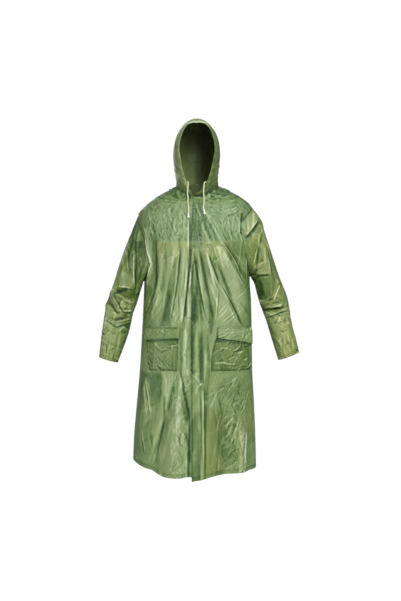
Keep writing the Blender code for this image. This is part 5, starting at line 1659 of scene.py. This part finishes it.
def build_hood(hand):
    """Half of the hood: the rim's casing, gathered at its foot, and seams at crown and back."""
    side = ARMHOLES[hand]["side"]
    rise = np.linspace(0, 1, HOOD_ROWS)[:, None]
    near, far = np.linspace(0, RIM_CROWD, RIM_COLUMNS), np.linspace(RIM_CROWD, 1, HOOD_COLUMNS)
    share = np.concatenate([near, far[1:]])
    rim = np.radians(read(HOOD, "rise", rise, "rim_" + hand)[0])
    rise, turn = np.broadcast_arrays(rise, rim + (np.pi - rim) * share)
    bare = hood(rise, turn, side)
    neck_turn = side * turn[:1]
    foot = crumpled(neck_turn, np.full_like(neck_turn, YOKE_TOP), side)[0]
    bare = bare + (foot - bare[:1]) * (1 - ease(rise / HOOD_FOOT_EASE))[..., None]
    out = grid_normals(bare, bare - HOOD_CENTRE)
    out[..., 0] = np.where((rise >= 1) | (share >= 1), 0, out[..., 0])
    out = unit(out)
    inward = np.cumsum(np.linalg.norm(np.diff(bare, axis=1), axis=-1), axis=1)
    inward = np.concatenate([np.zeros((len(bare), 1)), inward], axis=1)

    height, shade = relief(HOOD_CREASES[hand], inward, rise)
    gathers = hood_gathers(hand, rise, inward)
    half = CASING_WIDTH / 2
    roll = np.sqrt(np.clip(1 - ((half - inward) / half) ** 2, 0, 1))
    roll = np.where(inward < CASING_WIDTH, roll, 0) * ease(rise / ROLL_EASE)
    height = height * ease((inward - HOOD_CREASES_FROM) / HOOD_CREASES_OVER)
    height = height + GATHER_HEIGHT * gathers + CASING_PROUD * roll
    height = height * ease(rise / HOOD_CALM_FOOT)
    height = height * ease((1 - rise) / HOOD_CALM_TOP + HOOD_CALM_SHARE)
    points = bare + out * height[..., None]

    tint_and_shade = np.zeros(bare.shape) + (HOOD_TONE, HOOD_WARMTH, HOOD_CRINKLE)
    # Painted highlights and shade of the creases and gathers, and a painted highlight on the roll.
    tint_and_shade[..., 0] += shade + GATHER_SHADING * gathers + ROLL_HIGHLIGHT * roll
    # Painted highlights on the top and right of the rim, painted shade at the foot and sides.
    paint_hood_light_and_shade(tint_and_shade, side, rise, inward, bare)
    points = weld(points, tint_and_shade, out, inward - CASING_WIDTH - CASING_WELD, *CASING_GROOVE)
    centre_back = from_column(bare, -1)
    for off in (centre_back, np.linalg.norm(bare - bare[-1:], axis=-1)):
        tinted(tint_and_shade, off, *HOOD_SEAM_DARK)
        points = weld(points, tint_and_shade, out, off - SEAM_WELD, tone=HOOD_SEAM_TONE)
    tinted(tint_and_shade, rise, *NECK_SEAM_DARK)
    inside_shading = hood_inside_shading(side, rise, inward, bare[..., 0])
    # Painted highlights and shade of the gathers and creases inside.
    inside_shading[..., 0] += INSIDE_GATHER_SHADING * gathers + INSIDE_SHADE * shade
    tinted(inside_shading, centre_back, *INSIDE_SEAM_DARK)
    lay = (inward + side * HOOD_LAY, HOOD_TALL * rise)
    name, thickness = hand + "_hood_half", SHELL + CASING_THICK * roll
    item = shell(name, points, out, thickness, tint_and_shade, inside_shading, lay)
    declare("hood_" + hand, cloth_area(points))


def on_front(hand, rows, near, far, columns):
    """A patch of a front's smooth surface, between two edges given as shares from lap to side:
    its points and normals, and each point's X and distance down."""
    side = ARMHOLES[hand]["side"]
    last = np.full_like(rows, UNDERLAP_EDGE) if hand == "left" else lap_edge(rows)
    start, end = turn_at(last, rows), armhole_turn(rows, ARMHOLES[hand], "front")
    share = near[:, None] + (far - near)[:, None] * np.linspace(0, 1, columns)
    turn, down = between(start, end, share, rows)
    return body(turn, down, side), normals_of(body, turn, down, side), ring_across(turn, down), down


def finish_patch(hand, kind, points, out, tint_and_shade, x, down):
    lay = (x + POCKET_LAY, down + POCKET_LAY_SLANT * x)
    name = hand + ("_pocket_bag" if kind == "pocket" else "_pocket_flap")
    item = shell(name, points, out, SHELL, tint_and_shade, inside_shading_of(tint_and_shade), lay)
    declare(kind + "_" + hand, cloth_area(points))


def build_bag(hand):
    """A patch pocket's bag: the front's surface moved out by a flat bulge and its crumples, which
    fade towards the sewn edges as powers of the distance from the middle."""
    sides = POCKETS[hand]
    rows = np.linspace(BAG_TOP, BAG_LOW, BAG_ROWS)
    share = (rows - BAG_TOP) / (BAG_LOW - BAG_TOP)
    near, far = read(sides, "share", share, "near", "far")
    points, out, x, down = on_front(hand, rows, near, far, BAG_COLUMNS)
    across, deep = np.abs(np.linspace(-1, 1, BAG_COLUMNS))[None], share[:, None]
    bulge = POCKET_BULGE * (1 - across**4) * np.sqrt(1 - deep**4)
    crumple, shade = relief(scatter(*STREWN_POCKETS[hand]), x, down, PARTNER)
    crumple = crumple * (1 - across**6) * (1 - deep**8) * ease(deep / BAG_EASE + BAG_EASE_SHARE)
    points = points + out * (POCKET_CLEAR + WALL + bulge + crumple)[..., None]
    tint_and_shade = np.zeros(points.shape) + POCKET_FINISH[hand]
    # Painted highlights and shade along the bag's crumples.
    tint_and_shade[..., 0] += shade
    edges = [from_column(points, edge) for edge in (0, -1)]
    edges.append(np.linalg.norm(points - points[-1:], axis=-1))
    for off in edges:
        points = weld(points, tint_and_shade, out, off - POCKET_WELD, POCKET_WELD_DEPTH, BAG_WELD_TONE)
        tinted(tint_and_shade, off, *BAG_EDGE_DARK)
    low = FLAP_LOW + np.linspace(*FLAP_SLANT[hand], BAG_COLUMNS)
    # Painted shadow of the flap on the bag.
    tinted(tint_and_shade, down - low - UNDER_FLAP, *UNDER_FLAP_SHADOW)
    finish_patch(hand, "pocket", points, out, tint_and_shade, x, down)


def build_flap(hand):
    """A pocket's flap: sewn on at its top, it stands off over the bag's bulge, by less at its end
    by the side, and its low edge hangs at a slant."""
    rows = np.linspace(FLAP_TOP, FLAP_LOW, FLAP_ROWS)
    near, far = (np.full_like(rows, edge) for edge in FLAPS[hand])
    points, out, x, down = on_front(hand, rows, near, far, FLAP_COLUMNS)
    over = POCKET_CLEAR + WALL + POCKET_BULGE + FLAP_LIFT
    over = over * ease((down - FLAP_TOP) / (BAG_TOP - FLAP_TOP))
    over = over * (1 - FLAP_END_LOWER * np.linspace(0, 1, FLAP_COLUMNS) ** 4)
    slant = np.linspace(*FLAP_SLANT[hand], FLAP_COLUMNS)
    hang = slant * (down - FLAP_TOP) / (FLAP_LOW - FLAP_TOP)
    down, low = down + hang, FLAP_LOW + slant
    crumple, shade = relief(scatter(*STREWN_POCKETS[hand]), x, down + FLAP_SHIFT, PARTNER)
    crumple = FLAP_CRUMPLE * crumple * ease((down - FLAP_TOP) / FLAP_EASE)
    points = points + out * (SEAM_GAP + WALL + over + crumple)[..., None]
    points[..., 2] -= hang
    tint_and_shade = np.zeros(points.shape) + FLAP_FINISH[hand]
    # Painted highlights and shade along the flap's crumples.
    tint_and_shade[..., 0] += FLAP_SHADE * shade
    top, edge = down - FLAP_TOP, low - down
    for off, tone in ((top, FLAP_TOP_TONE), (edge, FLAP_LOW_TONE)):
        points = weld(points, tint_and_shade, out, off - POCKET_WELD, POCKET_WELD_DEPTH, tone)
    tinted(tint_and_shade, top, *FLAP_TOP_DARK)
    # Painted shadow along the flap's low edge.
    tinted(tint_and_shade, edge, *FLAP_LOW_SHADOW)
    for column in (0, -1):
        tinted(tint_and_shade, from_column(points, column), *FLAP_END_DARK)
    finish_patch(hand, "flap", points, out, tint_and_shade, x, down)


def build_studs():
    """The caps of the press studs down the front edge: a rolled rim round a shallow dish."""
    for number, down in enumerate(STUD_DOWNS, 1):
        row = np.array([down])
        turn = turn_at(np.array([STUD_ACROSS]), row)[:, None]
        place = crumpled(turn, row[:, None], 1)[0][0, 0]
        out = normals_of(body, turn, row[:, None], 1)[0, 0]
        stud = turned("stud_cap_%d" % number, place + out * SEAM_GAP, out, STUD_PROFILE, STUD)
        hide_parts("press_stud_%d" % number)


def linear(red, green, blue):
    """A colour given in 0 to 255 steps, as linear light."""
    steps = np.array([red, green, blue]) / 255
    light = np.where(steps <= 0.04045, steps / 12.92, ((steps + 0.055) / 1.055) ** 2.4)
    return (*light.tolist(), 1.0)


class Paint:
    """A material's nodes, each added with its inputs: a socket is linked, a value is set."""

    def __init__(self, name):
        """A new material with a plain shader."""
        self.material = bpy.data.materials.new(name)
        self.material.use_nodes = True
        self.tree = self.material.node_tree
        self.shader = self.tree.nodes["Principled BSDF"]

    def give(self, socket, value):
        """Links or sets one input."""
        if isinstance(value, bpy.types.NodeSocket):
            self.tree.links.new(value, socket)
        else:
            socket.default_value = value

    def node(self, kind, settings=None, **inputs):
        """A node; its inputs are named with _ for a space, or numbered with _ in front."""
        node = self.tree.nodes.new("ShaderNode" + kind)
        for name, value in (settings or {}).items():
            setattr(node, name, value)
        for name, value in inputs.items():
            key = int(name[1:]) if name[0] == "_" else name.replace("_", " ")
            self.give(node.inputs[key], value)
        return node

    def sum(self, operation, one, two=0.0):
        """The result of arithmetic on one or two values."""
        return self.node("Math", dict(operation=operation), _0=one, _1=two).outputs[0]

    def plus(self, one, two):
        """The sum of two values."""
        return self.sum("ADD", one, two)

    def times(self, one, two):
        """The product of two values."""
        return self.sum("MULTIPLY", one, two)

    def blend(self, kind, share, one, two):
        """Two colours blended by the second one's share."""
        settings = dict(data_type="RGBA", blend_type=kind, clamp_factor=True)
        return self.node("Mix", settings, _0=share, _6=one, _7=two).outputs[2]

    def tint(self, share, colour, tint):
        """A colour, multiplied by the tint to the given share."""
        return self.blend("MIX", share, colour, self.blend("MULTIPLY", 1.0, colour, tint))

    def between(self, value, low, high, to_low, to_high):
        """A value carried from one range to another and held at its ends."""
        inputs = dict(Value=value, From_Min=low, From_Max=high, To_Min=to_low, To_Max=to_high)
        return self.node("MapRange", dict(clamp=True), **inputs).outputs[0]

    def noise(self, scale, detail=3.0, stretch=(1.0, 1.0, 1.0), rough=0.5, warp=0.0):
        """Noise of 0 to 1 about 0.5 in the object's own place, squeezed by the stretch."""
        where = self.node("TexCoord").outputs["Object"]
        where = self.node("Mapping", Vector=where, Scale=stretch).outputs[0]
        inputs = dict(Scale=scale, Detail=detail, Roughness=rough, Distortion=warp)
        return self.node("TexNoise", Vector=where, **inputs).outputs[0]

    def ramp(self, value, stops):
        """A colour picked by the value between places with given colours."""
        node = self.node("ValToRGB", Fac=value)
        stages = node.color_ramp.elements
        while len(stages) < len(stops):
            stages.new(0.5)
        for stage, (at, colour) in zip(stages, stops):
            stage.position = at
            stage.color = colour
        return node.outputs[0]

    def tint_and_shade(self):
        """The tone with its painted light and shade, warmth and crinkle kept at the mesh's points.
        """
        seen = self.node("Attribute", dict(attribute_name="tint_and_shade")).outputs["Color"]
        return self.node("SeparateColor", Color=seen).outputs[:3]

    def bump(self, height, strength, distance):
        """Normals tilted by a height."""
        return self.node("Bump", Height=height, Strength=strength, Distance=distance).outputs[0]

    def shade(self, **inputs):
        """Gives the shader its inputs, named as a node's are, and returns the material."""
        for name, value in inputs.items():
            self.give(self.shader.inputs[name.replace("_", " ")], value)
        return self.material


def crease_lines(paint, lay, across, along, width, warp):
    """Thin meandering creases, made of a noise stretched along the cloth.

    Crests run where it crosses its middle value and troughs just past them; the crests take a
    painted highlight and the troughs painted shade. On one side of them the film's planes are
    painted paler than on the other.
    """
    settings = dict(operation="MULTIPLY")
    where = paint.node("VectorMath", settings, _0=lay, _1=(1 / across, 1 / along, 1.0)).outputs[0]
    inputs = dict(Scale=1.0, Detail=2.5, Roughness=0.55, Distortion=warp)
    noise = paint.node("TexNoise", Vector=where, **inputs).outputs[0]
    off = paint.sum("ABSOLUTE", paint.sum("SUBTRACT", noise, 0.5))
    crest = paint.between(off, 0.0, width, 1.0, 0.0)
    off = paint.sum("ABSOLUTE", paint.sum("SUBTRACT", noise, 0.5 + 1.7 * width))
    trough = paint.between(off, 0.0, 1.3 * width, 1.0, 0.0)
    plane = paint.between(noise, 0.5 - width / 2, 0.5 + width / 2, -1.0, 1.0)
    return crest, trough, plane


def film_material(name, stops, gloss, coat, lines=1.0):
    """Glossy crumpled film: tone picks its colour, warmth tints it, crinkle roughens and lines it.

    Clouds, streaks and speckle shift the tone at random; two sizes of thin creases add painted
    highlights, painted shade and paler and darker planes to it. Gloss is the lowest and highest
    roughness, and lines the strength of the thin creases' painted highlight and shade.
    """
    paint = Paint(name)
    tone, warmth, crinkle = paint.tint_and_shade()
    lay = paint.node("Attribute", dict(attribute_name="lay")).outputs["Vector"]
    clouds = paint.noise(26.0, 4.0, warp=0.6)
    streaks = paint.noise(9.0, 4.0, stretch=(9.0, 9.0, 1.1), rough=0.6)
    speckle = paint.noise(170.0, 3.0, rough=0.65)
    patchy = paint.between(paint.noise(11.0, 2.0, warp=0.5), 0.35, 0.6, 0.25, 1.0)
    long_crest, long_trough, long_plane = crease_lines(paint, lay, *LONG_LINES)
    short_crest, short_trough, short_plane = crease_lines(paint, lay, *SHORT_LINES)
    short_plane = paint.times(short_plane, crinkle)
    fine = paint.times(patchy, crinkle)
    long_crest, long_trough = paint.times(long_crest, patchy), paint.times(long_trough, patchy)
    short_crest, short_trough = paint.times(short_crest, fine), paint.times(short_trough, fine)
    for noise, low, high, shift in (
        (clouds, 0.25, 0.75, 0.035), (streaks, 0.28, 0.72, 0.012), (speckle, 0.25, 0.75, 0.03)
    ):
        tone = paint.plus(tone, paint.between(noise, low, high, -shift, shift))
    # Painted highlights on the thin creases' crests, painted shade in their troughs and on their
    # planes.
    for line, share in (
        (long_crest, 0.08), (long_trough, -0.06), (short_crest, 0.20), (short_trough, -0.14),
        (long_plane, 0.035), (short_plane, 0.07),
    ):
        tone = paint.plus(tone, paint.times(line, share * lines))
    colour = paint.ramp(tone, stops)
    colour = paint.tint(paint.between(warmth, 0.5, 1.0, 0.0, 1.0), colour, YELLOW_TINT)
    colour = paint.tint(paint.between(warmth, 0.5, 0.0, 0.0, 1.0), colour, BLUE_TINT)
    rough = paint.plus(paint.between(clouds, 0.3, 0.7, *gloss), paint.times(crinkle, 0.05))
    dents = paint.times(paint.noise(150.0, 4.0, rough=0.6), 0.5)
    for line, share in (
        (long_crest, 0.9), (long_trough, -0.5), (short_crest, 1.0), (short_trough, -0.6)
    ):
        dents = paint.plus(dents, paint.times(line, share))
    return paint.shade(
        Base_Color=colour, Roughness=rough, Normal=paint.bump(dents, 0.5, 0.0012), IOR=1.5,
        Coat_Weight=coat, Coat_Roughness=0.25, Specular_IOR_Level=0.5,
    )


def cord_material():
    """Undyed braided cotton: cream strands, with painted shade where they dip, and loose fibre."""
    paint = Paint("cotton_cord")
    tone = paint.tint_and_shade()[0]
    fibre = paint.noise(900.0, 3.0, stretch=(1.0, 1.0, 0.5))
    tone = paint.plus(tone, paint.between(fibre, 0.3, 0.7, -0.08, 0.08))
    return paint.shade(
        Base_Color=paint.ramp(tone, CORD_STOPS),
        Roughness=paint.between(fibre, 0.3, 0.7, 0.75, 0.95),
        Normal=paint.bump(fibre, 0.5, 0.0004), Sheen_Weight=0.3, Sheen_Roughness=0.5,
    )


def moulded_material(name, dark, light, rough):
    """Moulded plastic: nearly even, with faint flow marks and a slight grain."""
    paint = Paint(name)
    flow = paint.noise(120.0, 3.0, warp=1.5)
    return paint.shade(
        Base_Color=paint.ramp(flow, ((0.3, dark), (0.7, light))),
        Roughness=paint.between(flow, 0.3, 0.7, rough - 0.05, rough + 0.08),
        Normal=paint.bump(paint.noise(700.0, 2.0), 0.15, 0.0003),
    )


def build_world():
    """A plain world that lights the coat softly and looks white to the camera."""
    world = bpy.data.worlds.new("studio")
    bpy.context.scene.world = world
    world.use_nodes = True
    tree = world.node_tree
    light, seen = tree.nodes["Background"], tree.nodes.new("ShaderNodeBackground")
    for ground, strength in ((light, WORLD_LIGHT), (seen, WORLD_SEEN)):
        ground.inputs["Color"].default_value = (1.0, 1.0, 1.0, 1.0)
        ground.inputs["Strength"].default_value = strength
    mix = tree.nodes.new("ShaderNodeMixShader")
    path = tree.nodes.new("ShaderNodeLightPath")
    sources = (path.outputs["Is Camera Ray"], light.outputs[0], seen.outputs[0])
    for source, socket in zip(sources, mix.inputs):
        tree.links.new(source, socket)
    tree.links.new(mix.outputs[0], tree.nodes["World Output"].inputs["Surface"])


def build_stage():
    """The white world, one large soft key light in front and above, two fills and a pale floor."""
    scene = bpy.context.scene
    scene.view_settings.view_transform = "Standard"
    build_world()
    for name, place, size, power in LAMPS:
        data = bpy.data.lights.new(name, "AREA")
        data.shape = "RECTANGLE"
        data.size, data.size_y = size
        data.energy = power
        lamp = bpy.data.objects.new(name, data)
        lamp.location = place
        aim = Vector(MIDDLE) - Vector(place)
        lamp.rotation_euler = aim.to_track_quat("-Z", "Y").to_euler()
        scene.collection.objects.link(lamp)
    angle = np.linspace(0, 2 * np.pi, FLOOR_SIDES, endpoint=False)
    edge = [(FLOOR_RADIUS * np.cos(a), FLOOR_RADIUS * np.sin(a), FLOOR) for a in angle]
    mesh = bpy.data.meshes.new("floor")
    mesh.from_pydata(edge, [], [tuple(range(FLOOR_SIDES))])
    floor = bpy.data.objects.new("floor", mesh)
    scene.collection.objects.link(floor)
    paint = Paint("floor")
    pale = paint.ramp(paint.noise(3.0, 2.0), FLOOR_STOPS)
    looks = dict(Roughness=0.8, Emission_Color=(1, 1, 1, 1), Emission_Strength=0.35)
    mesh.materials.append(paint.shade(Base_Color=pale, **looks))


FRONT_ARCS, BACK_ARCS = arcs_of(FRONT_FOLDS), arcs_of(BACK_FOLDS)
FRONT_FINE, BACK_FINE = (
    arcs_of(joined(creases, *(scatter(*row) for row in strewn)))
    for creases, strewn in ((FRONT_CREASES, STREWN_FRONT), (BACK_CREASES, STREWN_BACK))
)

# The outer film's colours by tone: its own greens in the middle, with the darkest stop for painted
# shade in folds and the palest for painted highlights.
OUTER_STOPS = (
    (0.08, linear(28, 59, 14)),
    (0.30, linear(70, 101, 44)),
    (0.50, linear(119, 140, 86)),
    (0.68, linear(148, 165, 119)),
    (0.92, linear(190, 204, 166)),
)
# The inside film's colours, far darker than the outer film's: painted shade of the hollow.
INSIDE_SHADED_STOPS = (
    (0.10, linear(24, 27, 5)),
    (0.32, linear(54, 60, 24)),
    (0.50, linear(88, 102, 54)),
    (0.75, linear(132, 152, 98)),
)
# The cord's cream, greyer at the low stop for the painted shade in the braid's dips.
CORD_STOPS = (
    (0.20, linear(150, 158, 118)),
    (0.45, linear(206, 214, 176)),
    (0.65, linear(236, 240, 208)),
)
FLOOR_STOPS = ((0.3, (0.90, 0.90, 0.90, 1)), (0.7, (0.93, 0.93, 0.93, 1)))
YELLOW_TINT = (1.13, 0.97, 0.70, 1.0)
BLUE_TINT = (0.94, 1.00, 1.18, 1.0)
FILM = film_material("green_film", OUTER_STOPS, (0.38, 0.52), 0.1)
# The inside film: painted shade for the hollow of the coat and hood.
SHADED_INSIDE = film_material("green_film_shaded_inside", INSIDE_SHADED_STOPS, (0.46, 0.62), 0.0, 0.5)
CORD = cord_material()
TIP = moulded_material("white_tip", linear(222, 226, 212), linear(240, 243, 234), 0.35)
STUD = moulded_material("stud_plastic", linear(84, 112, 66), linear(96, 124, 78), 0.32)

aim_camera()
for hand in ("left", "right"):
    build_cord(hand)
build_stage()
build_yoke()
build_back()
for hand in ("left", "right"):
    build_front(hand)
    build_sleeve(hand)
    build_hood(hand)
    build_bag(hand)
    build_flap(hand)
build_studs()
